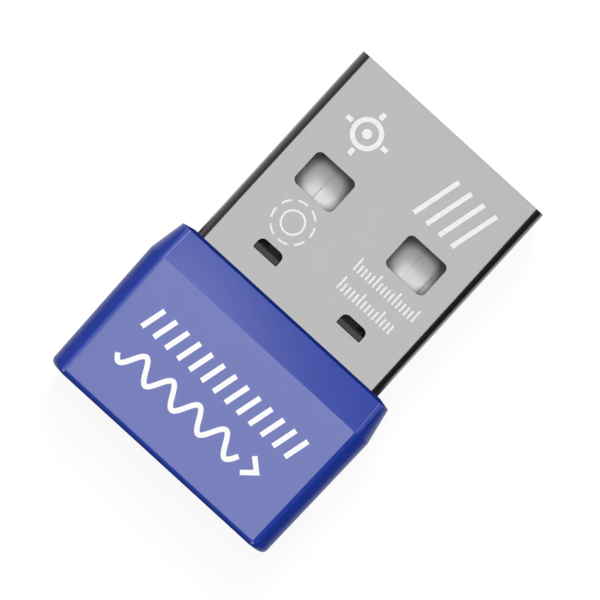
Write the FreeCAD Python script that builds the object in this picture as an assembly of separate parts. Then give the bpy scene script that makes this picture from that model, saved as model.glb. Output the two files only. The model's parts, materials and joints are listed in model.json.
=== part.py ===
"""A plug-in USB mouse jiggler: a small moulded cap on a standard series A plug.

Millimetres. The origin is on the plug's axis, in the plane of the shoulder that meets the host's port.
+Y points out of the plug's mouth, +X is to the right seen from above, and +Z is up, away from the tongue.
"""

import FreeCAD, Part
import math
import os

Vector = FreeCAD.Vector

# ---------------------------------------------------------------- plug shell, folded from sheet steel
PLUG_WIDTH = 12.0
PLUG_HEIGHT = 4.5
PLUG_REACH = 12.1            # from the shoulder to the mouth
SHEET = 0.3
BEND_INSIDE = 0.20           # inside radius of the folded corners
MOUTH_CHAMFER = 0.06

WINDOW_WIDTH = 2.5           # the four openings that the host's springs drop into
WINDOW_LENGTH = 2.0
WINDOW_PITCH = 6.1
WINDOW_SETBACK = 5.05        # from the mouth to the near edge
WINDOW_CORNER = 0.28

SLOT_WIDTH = 1.5             # the two slots in the top wall that the latch hooks fill
SLOT_LENGTH = 0.67
SLOT_PITCH = 5.54
SLOT_SETBACK = 1.34          # from the shoulder to the straight rear edge
SLOT_CORNER = 0.3

SEAM_GAP = 0.05              # the butt joint under the plug, locked by dovetails
DOVETAIL_NECK = 0.9
DOVETAIL_HEAD = 1.3
DOVETAIL_DEPTH = 0.8
DOVETAIL_SETBACK = 2.6       # from the mouth to the first dovetail's middle
DOVETAIL_SPACING = 6.0

LEG_WIDTH = 1.0              # the two legs that fold up through the board
LEG_INSET = 1.7              # from the shell's side wall, inside, to a leg's outer edge
LEG_PROUD = 0.3

CATCH_LENGTH = 1.0           # the side slots that the cap's lugs click into
CATCH_HEIGHT = 1.2
CATCH_SETBACK = 2.1          # from the shoulder to the slot's front edge

# ---------------------------------------------------------------- moulded cap
CAP_LENGTH = 9.6
RIDGE_SETBACK = 2.03         # from the shoulder to the ridge where the cap is thickest
SHOULDER_SIDE = 0.84         # how far the shoulder stands out past the plug, at its sides
SHOULDER_TOP = 0.75          # and above and below it
FLARE_SIDE = 0.41            # how much further the ridge stands out than the shoulder
FLARE_TOP = 0.4
SIDE_DRAFT = 1.0             # degrees, from the ridge to the rear
BOW_FRONT = 0.42             # how far the rounded sides stand out past the flat faces' edges
BOW_RIDGE = 0.77
BOW_REAR = 0.75
FACE_EDGE_RADIUS = 0.3
SHOULDER_RADIUS = 0.15
REAR_RADIUS = 0.32
REAR_WALL = 0.9
CAVITY_WALL = 1.0
CAVITY_CORNER = 0.3
CAP_RIB = 0.6
LUG_BITE = 0.25              # how far a lug reaches into the side slot
LUG_PLAY = 0.1

# ---------------------------------------------------------------- clearances
SLIP = 0.05                  # mouldings and the board inside the shell, and the shell inside the cap
SKIM = 0.02                  # where a moulding bears on the shell
BOARD_PLAY = 0.1             # each side of the board

# ---------------------------------------------------------------- contacts and their tongue
MATING_GAP = 2.05            # free height over the contacts, for the host's tongue
MATING_DEPTH = 9.2           # from the mouth to the end of that space
CONTACT_WIDTH = 1.0
CONTACT_SHEET = 0.2
CONTACT_PROUD = 0.05
CONTACT_PLAY = 0.08          # each side of a contact in its groove
POWER_PITCH = 7.0
DATA_PITCH = 2.0
TONGUE_SETBACK = 0.6         # from the mouth to the tongue's nose
TONGUE_NOSE = 0.3            # its lead-in chamfer
POWER_SETBACK = 0.6          # from the tongue's nose to the power contacts
DATA_SETBACK = 1.6           # and to the data contacts
CONTACT_DIP = 0.25           # how far a contact's tip is bent down
TAIL_STEP = 0.25             # the step from the tongue down to the board
TAIL_LAP = 1.2               # how much of a contact lies on its pad
TONGUE_WALL = 0.5            # the wall that ends the mating space
TONGUE_SHELF = 1.0
TONGUE_RAIL = 1.2
TONGUE_EDGE = 0.15

# ---------------------------------------------------------------- latch frame
FRAME_RAIL = 0.9
FRAME_ROOF = 0.6
FRAME_COLLAR = 0.5
ARM_THICKNESS = 0.45
ARM_LENGTH = 3.4
ARM_SLIT = 0.2
HOOK_PLAY = 0.03             # round a hook in its slot
HOOK_FLAT = 0.27
HOOK_RAMP = 0.13
HOOK_CORNER = 0.22           # the rounded front corners of a hook, seen from above
HOOK_SUNK = 0.12             # below the shell's outer face

# ---------------------------------------------------------------- board and what is soldered to it
BOARD_THICKNESS = 0.6
BOARD_TAIL = 3.6             # board length behind the shell's rear edge
BOARD_END_PLAY = 0.2
BOARD_CORNER = 0.5
BOARD_SLOT_PLAY = 0.08
FILM_THICKNESS = 0.1
PART_GAP = 0.2               # least distance between neighbours on the board
SOLDER_SKIRT = 0.35
SOLDER_RISE = 0.18
PAD_SKIRT = 0.15

CHIP_SIZE = 3.0
CHIP_THICKNESS = 0.85
CHIP_STANDOFF = 0.1
CHIP_BEVEL = 0.12
LEAD_COUNT = 5               # on each side
LEAD_PITCH = 0.5
LEAD_WIDTH = 0.2
LEAD_SHEET = 0.15
LEAD_REACH = 0.95            # from the body's side to the toe
LEAD_FOOT = 0.5
PIN_MARK = 0.25              # radius of the dimple beside the first lead
PIN_MARK_DEPTH = 0.05

CRYSTAL_WIDTH = 2.5
CRYSTAL_LENGTH = 2.0
CRYSTAL_BASE = 0.35
CRYSTAL_LID = 0.3
CRYSTAL_RIM = 0.15

# the two-ended chip parts: a fuse, the two supply capacitors, the resistors, the crystal's capacitors
FUSE_LENGTH = 1.6
FUSE_WIDTH = 0.8
FUSE_HEIGHT = 0.5
SUPPLY_LENGTH = 1.6
SUPPLY_WIDTH = 0.8
SUPPLY_HEIGHT = 0.8
SIGNAL_LENGTH = 1.0
SIGNAL_WIDTH = 0.5
SIGNAL_HEIGHT = 0.35
LOAD_LENGTH = 1.0
LOAD_WIDTH = 0.5
LOAD_HEIGHT = 0.5
END_SHARE = 0.22             # of a chip part's length, for each tinned end

# ---------------------------------------------------------------- places that several pieces share
PLUG_TAIL = CAP_LENGTH - REAR_WALL - BOARD_END_PLAY - BOARD_TAIL
SHELL_HALF = PLUG_WIDTH / 2 - SHEET
SHELL_ROOF = PLUG_HEIGHT / 2 - SHEET
BEND_OUTSIDE = BEND_INSIDE + SHEET
MOULD_HALF = SHELL_HALF - SLIP
MOULD_ROOF = SHELL_ROOF - SKIM
CONTACT_TOP = SHELL_ROOF - MATING_GAP
CONTACT_BED = CONTACT_TOP - CONTACT_SHEET
TONGUE_TOP = CONTACT_TOP - CONTACT_PROUD
TONGUE_FRONT = PLUG_REACH - TONGUE_SETBACK
MATING_END = PLUG_REACH - MATING_DEPTH
TONGUE_REAR = MATING_END - TONGUE_WALL
BOARD_TOP = CONTACT_BED - TAIL_STEP
BOARD_BOTTOM = BOARD_TOP - BOARD_THICKNESS
BOARD_HALF = SHELL_HALF - BOARD_PLAY
BOARD_FRONT = TONGUE_REAR - SLIP
BOARD_REAR = -(CAP_LENGTH - REAR_WALL - BOARD_END_PLAY)
TAIL_END = BOARD_FRONT - TAIL_STEP - TAIL_LAP
LEG_OUTER = SHELL_HALF - LEG_INSET
LEG_INNER = LEG_OUTER - LEG_WIDTH
LEG_FACE = -PLUG_TAIL - BEND_INSIDE
LEG_BACK = LEG_FACE - SHEET
SHOULDER_HALF_WIDTH = PLUG_WIDTH / 2 + SHOULDER_SIDE
SHOULDER_HALF_HEIGHT = PLUG_HEIGHT / 2 + SHOULDER_TOP
RIDGE_HALF_WIDTH = SHOULDER_HALF_WIDTH + FLARE_SIDE
REAR_HALF_WIDTH = RIDGE_HALF_WIDTH - (CAP_LENGTH - RIDGE_SETBACK) * math.tan(math.radians(SIDE_DRAFT))
CAP_HALF_HEIGHT = SHOULDER_HALF_HEIGHT + FLARE_TOP
FAR = 2 * PLUG_WIDTH         # longer than anything a cutter has to pass through
MARGIN = SHEET               # how far a cutter runs past the face it opens
ALIGNED = 0.999              # cosine of the angle within which an edge counts as parallel
TOUCHING = 1e-6              # points nearer than this are in the same plane


# ---------------------------------------------------------------- small shapes that the pieces share
def block(x0, x1, y0, y1, z0, z1):
    return Part.makeBox(x1 - x0, y1 - y0, z1 - z0, Vector(x0, y0, z0))


def pair(shape):
    """A shape and its mirror image on the other side of the plug's axis."""
    return [shape, shape.mirror(Vector(0, 0, 0), Vector(1, 0, 0))]


def edges_along(shape, axis):
    """The straight edges that run along one axis, 0 for X, 1 for Y and 2 for Z."""
    found = []
    for edge in shape.Edges:
        if len(edge.Vertexes) == 2:
            step = edge.Vertexes[1].Point - edge.Vertexes[0].Point
            if abs(step[axis]) > ALIGNED * step.Length:
                found.append(edge)
    return found


def edges_at(shape, y):
    """The edges that lie in the plane across the plug's axis at y."""
    return [e for e in shape.Edges if all(abs(v.Y - y) < TOUCHING for v in e.Vertexes)]


def rounded_bar(half_width, half_height, radius, y0, y1):
    """A bar along Y whose section is a rectangle with rounded corners."""
    bar = block(-half_width, half_width, y0, y1, -half_height, half_height)
    return bar.makeFillet(radius, edges_along(bar, 1))


def prism(points, width, middle):
    """A flat outline given as (y, z) points, thickened along X about the middle."""
    corners = [Vector(middle - width / 2, y, z) for y, z in points]
    outline = Part.Face(Part.makePolygon(corners + corners[:1]))
    return outline.extrude(Vector(width, 0, 0))


def strip(bed, sheet, width, middle):
    """Sheet metal bent along a line of (y, z) points, which is its underside, with mitred bends."""
    top = []
    for i, (y, z) in enumerate(bed):
        into = bed[max(i, 1)], bed[max(i, 1) - 1]
        out = bed[min(i + 1, len(bed) - 1)], bed[min(i + 1, len(bed) - 1) - 1]
        turns = [math.atan2(b[1] - a[1], b[0] - a[0]) for b, a in (into, out)]
        mean = (turns[0] + turns[1]) / 2
        reach = sheet / math.cos((turns[1] - turns[0]) / 2)
        top.append((y - reach * math.sin(mean), z + reach * math.cos(mean)))
    return prism(bed + top[::-1], width, middle)


def skirt(x0, x1, y0, y1, spread, rise):
    """A solder fillet on the board round a foot with these sides, sloping down all round."""
    low = [Vector(x0 - spread, y0 - spread, BOARD_TOP), Vector(x1 + spread, y0 - spread, BOARD_TOP),
           Vector(x1 + spread, y1 + spread, BOARD_TOP), Vector(x0 - spread, y1 + spread, BOARD_TOP)]
    high = [Vector(x0, y0, BOARD_TOP + rise), Vector(x1, y0, BOARD_TOP + rise),
            Vector(x1, y1, BOARD_TOP + rise), Vector(x0, y1, BOARD_TOP + rise)]
    rings = [Part.makePolygon(ring + ring[:1]) for ring in (low, high)]
    return Part.makeLoft(rings, True, True)


# ---------------------------------------------------------------- plug shell
def seam_cut():
    """The thin cut that the folded sheet's two edges leave, with its dovetails, seen from above."""
    path = [(0, PLUG_REACH + MARGIN)]
    middle = PLUG_REACH - DOVETAIL_SETBACK
    while middle - DOVETAIL_HEAD > -PLUG_TAIL:
        neck, head = DOVETAIL_NECK / 2, DOVETAIL_HEAD / 2
        path += [(0, middle + neck), (DOVETAIL_DEPTH, middle + head),
                 (DOVETAIL_DEPTH, middle - head), (0, middle - neck)]
        middle -= DOVETAIL_SPACING
    path.append((0, -PLUG_TAIL - MARGIN))
    depth = 2 * SHEET
    cut = None
    for (xa, ya), (xb, yb) in zip(path, path[1:]):
        run = math.hypot(xb - xa, yb - ya)
        blade = Part.makeBox(run + SEAM_GAP, SEAM_GAP, depth, Vector(-SEAM_GAP / 2, -SEAM_GAP / 2, 0))
        blade.rotate(Vector(0, 0, 0), Vector(0, 0, 1), math.degrees(math.atan2(yb - ya, xb - xa)))
        blade.translate(Vector(xa, ya, -PLUG_HEIGHT / 2 - SHEET / 2))
        cut = blade if cut is None else cut.fuse(blade)
    return cut


def shell_leg():
    """One leg: the bottom wall runs on, turns up and passes through the board."""
    centre = Vector(LEG_INNER, -PLUG_TAIL, -PLUG_HEIGHT / 2 + BEND_OUTSIDE)
    bend = Part.makeCylinder(BEND_OUTSIDE, LEG_WIDTH, centre, Vector(1, 0, 0))
    bend = bend.cut(Part.makeCylinder(BEND_INSIDE, LEG_WIDTH, centre, Vector(1, 0, 0)))
    bend = bend.common(block(LEG_INNER, LEG_OUTER, LEG_BACK, -PLUG_TAIL, -PLUG_HEIGHT / 2, centre.z))
    riser = block(LEG_INNER, LEG_OUTER, LEG_BACK, LEG_FACE, centre.z, BOARD_TOP + LEG_PROUD)
    return bend.fuse(riser)


def plug_shell():
    y0, y1 = -PLUG_TAIL, PLUG_REACH
    tube = rounded_bar(PLUG_WIDTH / 2, PLUG_HEIGHT / 2, BEND_OUTSIDE, y0, y1)
    tube = tube.makeChamfer(MOUTH_CHAMFER, edges_at(tube, y1))
    tube = tube.cut(rounded_bar(SHELL_HALF, SHELL_ROOF, BEND_INSIDE, y0 - MARGIN, y1 + MARGIN))

    y_window = PLUG_REACH - WINDOW_SETBACK - WINDOW_LENGTH
    x_window = WINDOW_PITCH / 2 - WINDOW_WIDTH / 2
    window = block(x_window, x_window + WINDOW_WIDTH, y_window, y_window + WINDOW_LENGTH, -FAR, FAR)
    window = window.makeFillet(WINDOW_CORNER, edges_along(window, 2))

    x_slot = SLOT_PITCH / 2 - SLOT_WIDTH / 2
    slot = block(x_slot, x_slot + SLOT_WIDTH, SLOT_SETBACK, SLOT_SETBACK + SLOT_LENGTH, 0, FAR)
    front = [e for e in edges_along(slot, 2) if e.Vertexes[0].Y > SLOT_SETBACK + SLOT_LENGTH / 2]
    slot = slot.makeFillet(SLOT_CORNER, front)

    catch = block(0, FAR, -CATCH_SETBACK - CATCH_LENGTH, -CATCH_SETBACK,
                  -CATCH_HEIGHT / 2, CATCH_HEIGHT / 2)
    cuts = pair(window) + pair(slot) + pair(catch) + [seam_cut()]
    return tube.cut(cuts).fuse(pair(shell_leg())).removeSplitter()


# ---------------------------------------------------------------- moulded cap
def cap_section(y, half_width, half_height, bow_out):
    """The cap's outline at y: flat top and bottom, bowed sides, rounded corners between them."""
    bow = (half_height ** 2 + bow_out ** 2) / (2 * bow_out)
    bow_centre = half_width - bow
    rise = half_height - FACE_EDGE_RADIUS
    reach = math.sqrt((bow - FACE_EDGE_RADIUS) ** 2 - rise ** 2)
    x_corner = bow_centre + reach
    lean = math.atan2(rise, reach)
    half_turn = (lean + math.pi / 2) / 2
    flat_end = Vector(x_corner, y, half_height)
    corner_middle = Vector(x_corner + FACE_EDGE_RADIUS * math.cos(half_turn), y,
                           rise + FACE_EDGE_RADIUS * math.sin(half_turn))
    bow_end = Vector(bow_centre + bow * math.cos(lean), y, bow * math.sin(lean))

    def at(point, x_sign, z_sign):
        return Vector(x_sign * point.x, y, z_sign * point.z)

    def corner(x_sign, z_sign, outward):
        points = [at(p, x_sign, z_sign) for p in (flat_end, corner_middle, bow_end)]
        return Part.Arc(*(points if outward else points[::-1])).toShape()

    def side(x_sign):
        top, bottom = at(bow_end, x_sign, x_sign), at(bow_end, x_sign, -x_sign)
        return Part.Arc(top, Vector(x_sign * half_width, y, 0), bottom).toShape()

    return [
        Part.LineSegment(at(flat_end, -1, 1), at(flat_end, 1, 1)).toShape(),
        corner(1, 1, True), side(1), corner(1, -1, False),
        Part.LineSegment(at(flat_end, 1, -1), at(flat_end, -1, -1)).toShape(),
        corner(-1, -1, True), side(-1), corner(-1, 1, False),
    ]


def cap_body():
    """The cap's outside: straight lines joining the outlines at the shoulder, the ridge and the rear."""
    stations = [
        cap_section(0, SHOULDER_HALF_WIDTH, SHOULDER_HALF_HEIGHT, BOW_FRONT),
        cap_section(-RIDGE_SETBACK, RIDGE_HALF_WIDTH, CAP_HALF_HEIGHT, BOW_RIDGE),
        cap_section(-CAP_LENGTH, REAR_HALF_WIDTH, CAP_HALF_HEIGHT, BOW_REAR),
    ]
    faces = [Part.Face(Part.Wire(stations[0])), Part.Face(Part.Wire(stations[-1]))]
    for near, far in zip(stations, stations[1:]):
        for a, b in zip(near, far):
            if a.Curve.TypeId == "Part::GeomLine":
                corners = [a.Vertexes[0].Point, a.Vertexes[1].Point, b.Vertexes[1].Point, b.Vertexes[0].Point]
                faces.append(Part.Face(Part.makePolygon(corners + corners[:1])))
            else:
                faces.append(Part.makeRuledSurface(a, b))
    skin = Part.makeShell(faces)
    skin.sewShape()
    body = Part.makeSolid(skin)
    if body.Volume < 0:
        body.reverse()
    body = body.makeFillet(SHOULDER_RADIUS, edges_at(body, 0))
    return body.makeFillet(REAR_RADIUS, edges_at(body, -CAP_LENGTH))


def cap_lug():
    """A lug inside the cap's side: its ramp leads forward and its square back catches the side slot."""
    wall = PLUG_WIDTH / 2 + SLIP
    tip = PLUG_WIDTH / 2 - LUG_BITE
    back = -CATCH_SETBACK - CATCH_LENGTH + LUG_PLAY
    front = -CATCH_SETBACK - LUG_PLAY
    half = CATCH_HEIGHT / 2 - LUG_PLAY
    corners = [Vector(wall + SLIP, back, -half), Vector(tip, back, -half),
               Vector(tip, (back + front) / 2, -half), Vector(wall + SLIP, front, -half)]
    return Part.Face(Part.makePolygon(corners + corners[:1])).extrude(Vector(0, 0, 2 * half))


def housing_cap():
    pocket_end = -PLUG_TAIL - FRAME_COLLAR - SLIP
    pocket = rounded_bar(PLUG_WIDTH / 2 + SLIP, PLUG_HEIGHT / 2 + SLIP, BEND_OUTSIDE + SLIP,
                         pocket_end, MARGIN)
    cavity_end = -(CAP_LENGTH - REAR_WALL)
    cavity_half = BOARD_HALF + SLIP
    cavity_roof = min(PLUG_HEIGHT / 2, CAP_HALF_HEIGHT - CAVITY_WALL)
    cavity = block(-cavity_half, cavity_half, cavity_end, pocket_end + CAVITY_CORNER,
                   -cavity_roof, cavity_roof)
    cavity = cavity.makeFillet(CAVITY_CORNER, edges_at(cavity, cavity_end) + edges_along(cavity, 1))
    cap = cap_body().cut([pocket, cavity])

    rib_front = LEG_BACK - SOLDER_SKIRT - PART_GAP
    outer, inner = cavity_half + SLIP, cavity_half - CAP_RIB
    lower = block(inner, outer, cavity_end - SLIP, rib_front, -cavity_roof - SLIP, BOARD_BOTTOM)
    upper = block(inner, outer, cavity_end - SLIP, rib_front, BOARD_TOP, cavity_roof + SLIP)
    return cap.fuse(pair(lower) + pair(upper) + pair(cap_lug())).removeSplitter()


# ---------------------------------------------------------------- contacts and their tongue
def contact(middle, setback):
    """One contact: a flat strip with its tip bent down and its tail stepped down onto the board."""
    tip = TONGUE_FRONT - setback
    bed = [(TAIL_END, BOARD_TOP), (TAIL_END + TAIL_LAP, BOARD_TOP),
           (TAIL_END + TAIL_LAP + TAIL_STEP, CONTACT_BED),
           (tip - CONTACT_DIP, CONTACT_BED), (tip, CONTACT_BED - CONTACT_DIP)]
    return strip(bed, CONTACT_SHEET, CONTACT_WIDTH, middle)


CONTACTS = {
    "contact_vbus": (-POWER_PITCH / 2, POWER_SETBACK),
    "contact_data_minus": (-DATA_PITCH / 2, DATA_SETBACK),
    "contact_data_plus": (DATA_PITCH / 2, DATA_SETBACK),
    "contact_ground": (POWER_PITCH / 2, POWER_SETBACK),
}


def contact_tongue():
    floor = -MOULD_ROOF
    nose = [(TONGUE_REAR, floor), (TONGUE_FRONT, floor), (TONGUE_FRONT, TONGUE_TOP - TONGUE_NOSE),
            (TONGUE_FRONT - TONGUE_NOSE, TONGUE_TOP), (MATING_END, TONGUE_TOP),
            (MATING_END, MOULD_ROOF), (TONGUE_REAR, MOULD_ROOF)]
    body = prism(nose, 2 * MOULD_HALF, 0)
    shelf = block(-MOULD_HALF, MOULD_HALF, TONGUE_REAR - TONGUE_SHELF, TONGUE_REAR, floor, BOARD_BOTTOM)
    rail = block(MOULD_HALF - TONGUE_RAIL, MOULD_HALF, -PLUG_TAIL, TONGUE_REAR, floor, BOARD_BOTTOM)
    body = body.fuse([shelf] + pair(rail)).removeSplitter()
    outer = [e for e in edges_along(body, 1) if abs(e.Vertexes[0].X) > MOULD_HALF - SLIP
             and abs(e.Vertexes[0].Z) > MOULD_ROOF - SLIP]
    body = body.makeChamfer(TONGUE_EDGE, outer)
    beds = []
    for middle, setback in CONTACTS.values():
        groove = CONTACT_WIDTH + 2 * CONTACT_PLAY
        x0, x1 = middle - groove / 2, middle + groove / 2
        tip = TONGUE_FRONT - setback
        beds.append(block(middle - CONTACT_WIDTH / 2, middle + CONTACT_WIDTH / 2,
                          TONGUE_REAR - SLIP, MATING_END, CONTACT_BED, CONTACT_TOP))
        beds.append(block(x0, x1, MATING_END, tip, CONTACT_BED, FAR))
        dip = [(tip - CONTACT_DIP, CONTACT_BED), (tip, CONTACT_BED - CONTACT_DIP),
               (tip + CONTACT_DIP, CONTACT_BED - CONTACT_DIP), (tip + CONTACT_DIP, CONTACT_BED)]
        beds.append(prism(dip, groove, middle))
        beds.append(block(x0, x1, tip, tip + CONTACT_DIP, CONTACT_BED, FAR))
    return body.cut(beds)


# ---------------------------------------------------------------- latch frame
def latch_frame():
    """A bridge over the board with a collar behind the shell and two sprung arms with hooks."""
    front, rear = TONGUE_REAR, -PLUG_TAIL
    inner = MOULD_HALF - FRAME_RAIL
    roof_bottom = MOULD_ROOF - FRAME_ROOF
    bridge = block(-MOULD_HALF, MOULD_HALF, rear, front, BOARD_TOP, MOULD_ROOF)
    bridge = bridge.makeChamfer(TONGUE_EDGE, [e for e in edges_along(bridge, 1) if e.Vertexes[0].Z > 0])
    collar = block(-PLUG_WIDTH / 2, PLUG_WIDTH / 2, rear - FRAME_COLLAR, rear, BOARD_TOP, PLUG_HEIGHT / 2)
    collar = collar.makeFillet(BEND_OUTSIDE, [e for e in edges_along(collar, 1) if e.Vertexes[0].Z > 0])
    tunnel = block(-inner, inner, rear - FRAME_COLLAR - MARGIN, front + MARGIN,
                   BOARD_TOP - MARGIN, roof_bottom)
    frame = bridge.fuse(collar).cut(tunnel)

    hook_back = SLOT_SETBACK + HOOK_PLAY
    flat_end = hook_back + HOOK_FLAT
    tip = flat_end + HOOK_RAMP
    root = tip - ARM_LENGTH
    arm_width = SLOT_WIDTH - 2 * HOOK_PLAY
    arm_middle = SLOT_PITCH / 2
    arm_bottom = MOULD_ROOF - ARM_THICKNESS
    gap = block(arm_middle - arm_width / 2 - ARM_SLIT, arm_middle + arm_width / 2 + ARM_SLIT,
                root, front + MARGIN, roof_bottom - MARGIN, MOULD_ROOF + MARGIN)
    hook_top = PLUG_HEIGHT / 2 - HOOK_SUNK
    outline = [(root, arm_bottom), (tip, arm_bottom), (tip, MOULD_ROOF), (flat_end, hook_top),
               (hook_back, hook_top), (hook_back, MOULD_ROOF), (root, MOULD_ROOF)]
    plan = block(arm_middle - arm_width / 2, arm_middle + arm_width / 2, root, tip, arm_bottom, hook_top)
    plan = plan.makeFillet(HOOK_CORNER, [e for e in edges_along(plan, 2) if e.Vertexes[0].Y > flat_end])
    arm = prism(outline, arm_width, arm_middle).common(plan)
    return frame.cut(pair(gap)).fuse(pair(arm)).removeSplitter()


# ---------------------------------------------------------------- board and what is soldered to it
def circuit_board():
    board = block(-BOARD_HALF, BOARD_HALF, BOARD_REAR, BOARD_FRONT, BOARD_BOTTOM, BOARD_TOP)
    rear = [e for e in edges_along(board, 2) if e.Vertexes[0].Y < 0]
    board = board.makeFillet(BOARD_CORNER, rear)
    slot = block(LEG_INNER - BOARD_SLOT_PLAY, LEG_OUTER + BOARD_SLOT_PLAY,
                 LEG_BACK - BOARD_SLOT_PLAY, LEG_FACE + BOARD_SLOT_PLAY, -FAR, FAR)
    return board.cut(pair(slot))


def contact_solder():
    """A skirt of solder round each contact's tail."""
    joints = []
    for middle, _ in CONTACTS.values():
        x0, x1 = middle - CONTACT_WIDTH / 2, middle + CONTACT_WIDTH / 2
        y1 = TAIL_END + TAIL_LAP / 2
        joint = skirt(x0, x1, TAIL_END, y1, PAD_SKIRT, SOLDER_RISE / 2)
        joints.append(joint.cut(block(x0, x1, TAIL_END, FAR, BOARD_TOP, FAR)))
    return joints


def leg_solder():
    """A fillet of solder round each of the shell's legs, where it comes up through the board."""
    leg = block(LEG_INNER, LEG_OUTER, LEG_BACK, LEG_FACE, -FAR, FAR)
    return pair(skirt(LEG_INNER, LEG_OUTER, LEG_BACK, LEG_FACE, SOLDER_SKIRT, SOLDER_RISE).cut(leg))


def insulating_film():
    """Tape under the board that keeps its joints off the steel."""
    half = MOULD_HALF - TONGUE_RAIL - SLIP
    front = TONGUE_REAR - TONGUE_SHELF - SLIP
    return block(-half, half, -PLUG_TAIL, front, BOARD_BOTTOM - FILM_THICKNESS, BOARD_BOTTOM)


# the parts stand in rows behind the contacts' tails: data resistors, then the controller
ROW_START = TAIL_END - PAD_SKIRT - PART_GAP
CHIP_FRONT = ROW_START - SIGNAL_LENGTH - PART_GAP
CHIP_MIDDLE = CHIP_FRONT - CHIP_SIZE / 2
LEAD_TOE = CHIP_SIZE / 2 + LEAD_REACH
SIDE_LANE = (LEAD_TOE + MOULD_HALF - FRAME_RAIL) / 2
TAIL_LANE = (LEG_BACK - SOLDER_SKIRT + BOARD_REAR) / 2


def controller_body():
    bottom = BOARD_TOP + CHIP_STANDOFF
    middle = bottom + CHIP_THICKNESS / 2
    rings = []
    for z, inset in ((bottom, CHIP_BEVEL), (middle, 0), (bottom + CHIP_THICKNESS, CHIP_BEVEL)):
        half = CHIP_SIZE / 2 - inset
        signs = ((-1, -1), (1, -1), (1, 1), (-1, 1))
        corners = [Vector(sx * half, CHIP_MIDDLE + sy * half, z) for sx, sy in signs]
        rings.append(Part.makePolygon(corners + corners[:1]))
    body = Part.makeLoft(rings, True, True)
    mark_floor = bottom + CHIP_THICKNESS - PIN_MARK_DEPTH
    mark = Vector(-CHIP_SIZE / 2 + 2 * PIN_MARK, CHIP_FRONT - 2 * PIN_MARK, mark_floor)
    return body.cut(Part.makeCylinder(PIN_MARK, 2 * PIN_MARK_DEPTH, mark))


def controller_leads():
    """Gull-wing leads: out of the body's side, down, and flat on the board."""
    exit_z = BOARD_TOP + CHIP_STANDOFF + CHIP_THICKNESS / 2 - LEAD_SHEET / 2
    toe = LEAD_TOE
    heel = toe - LEAD_FOOT
    side = CHIP_SIZE / 2
    knee = (side + heel) / 2
    bed = [(-toe, BOARD_TOP), (-heel, BOARD_TOP), (-knee, exit_z), (-side, exit_z)]
    lead = strip(bed, LEAD_SHEET, LEAD_WIDTH, 0)
    lead.rotate(Vector(0, 0, 0), Vector(0, 0, 1), -90)
    leads = []
    for i in range(LEAD_COUNT):
        row = lead.copy()
        row.translate(Vector(0, CHIP_MIDDLE + (i - (LEAD_COUNT - 1) / 2) * LEAD_PITCH, 0))
        leads += pair(row)
    return leads


def crystal_base():
    half = CRYSTAL_WIDTH / 2
    y0 = TAIL_LANE - CRYSTAL_LENGTH / 2
    return block(-half, half, y0, y0 + CRYSTAL_LENGTH, BOARD_TOP, BOARD_TOP + CRYSTAL_BASE)


def crystal_lid():
    half = CRYSTAL_WIDTH / 2 - CRYSTAL_RIM
    y0 = TAIL_LANE - CRYSTAL_LENGTH / 2 + CRYSTAL_RIM
    z0 = BOARD_TOP + CRYSTAL_BASE
    lid = block(-half, half, y0, y0 + CRYSTAL_LENGTH - 2 * CRYSTAL_RIM, z0, z0 + CRYSTAL_LID)
    return lid.makeFillet(CRYSTAL_RIM, edges_along(lid, 2))


# length, width and height of each kind of chip part
FUSE_CHIP = (FUSE_LENGTH, FUSE_WIDTH, FUSE_HEIGHT)
SUPPLY_CHIP = (SUPPLY_LENGTH, SUPPLY_WIDTH, SUPPLY_HEIGHT)
SIGNAL_CHIP = (SIGNAL_LENGTH, SIGNAL_WIDTH, SIGNAL_HEIGHT)
LOAD_CHIP = (LOAD_LENGTH, LOAD_WIDTH, LOAD_HEIGHT)
LOAD_LANE = CRYSTAL_WIDTH / 2 + 2 * PART_GAP + LOAD_WIDTH / 2

# what each chip part is, where its middle stands and its size; all lie along Y
CHIP_PARTS = {
    "input_fuse": [(-SIDE_LANE, ROW_START - FUSE_LENGTH / 2, FUSE_CHIP)],
    "input_capacitor": [(-SIDE_LANE, ROW_START - FUSE_LENGTH - PART_GAP - SUPPLY_LENGTH / 2, SUPPLY_CHIP)],
    "core_capacitor": [(SIDE_LANE, ROW_START - SIGNAL_LENGTH - PART_GAP - SUPPLY_LENGTH / 2, SUPPLY_CHIP)],
    "pull_up_resistor": [(SIDE_LANE, ROW_START - SIGNAL_LENGTH / 2, SIGNAL_CHIP)],
    "data_resistors": [(-DATA_PITCH / 2, ROW_START - SIGNAL_LENGTH / 2, SIGNAL_CHIP),
                       (DATA_PITCH / 2, ROW_START - SIGNAL_LENGTH / 2, SIGNAL_CHIP)],
    "crystal_capacitors": [(-LOAD_LANE, TAIL_LANE, LOAD_CHIP), (LOAD_LANE, TAIL_LANE, LOAD_CHIP)],
}


def chip_bodies(name):
    solids = []
    for x, y, (length, width, height) in CHIP_PARTS[name]:
        half = length * (0.5 - END_SHARE)
        solids.append(block(x - width / 2, x + width / 2, y - half, y + half, BOARD_TOP, BOARD_TOP + height))
    return solids


def chip_terminals():
    """The tinned ends of all the chip parts."""
    ends = []
    for places in CHIP_PARTS.values():
        for x, y, (length, width, height) in places:
            end = length * END_SHARE
            for y0 in (y - length / 2, y + length / 2 - end):
                ends.append(block(x - width / 2, x + width / 2, y0, y0 + end, BOARD_TOP, BOARD_TOP + height))
    return ends


# ---------------------------------------------------------------- write one file for each piece
def write(name, shape):
    solids = shape if isinstance(shape, list) else [shape]
    solids = [s for item in solids for s in item.Solids]
    bad = [s for s in solids if not s.isValid() or s.Volume <= 0]
    print(f"{name}: {len(solids)} solid(s), {sum(s.Volume for s in solids):.3f} mm3"
          + (f", {len(bad)} BAD" if bad else ""))
    whole = solids[0] if len(solids) == 1 else Part.makeCompound(solids)
    whole.exportStep(os.path.join("parts", name + ".step"))


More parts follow.
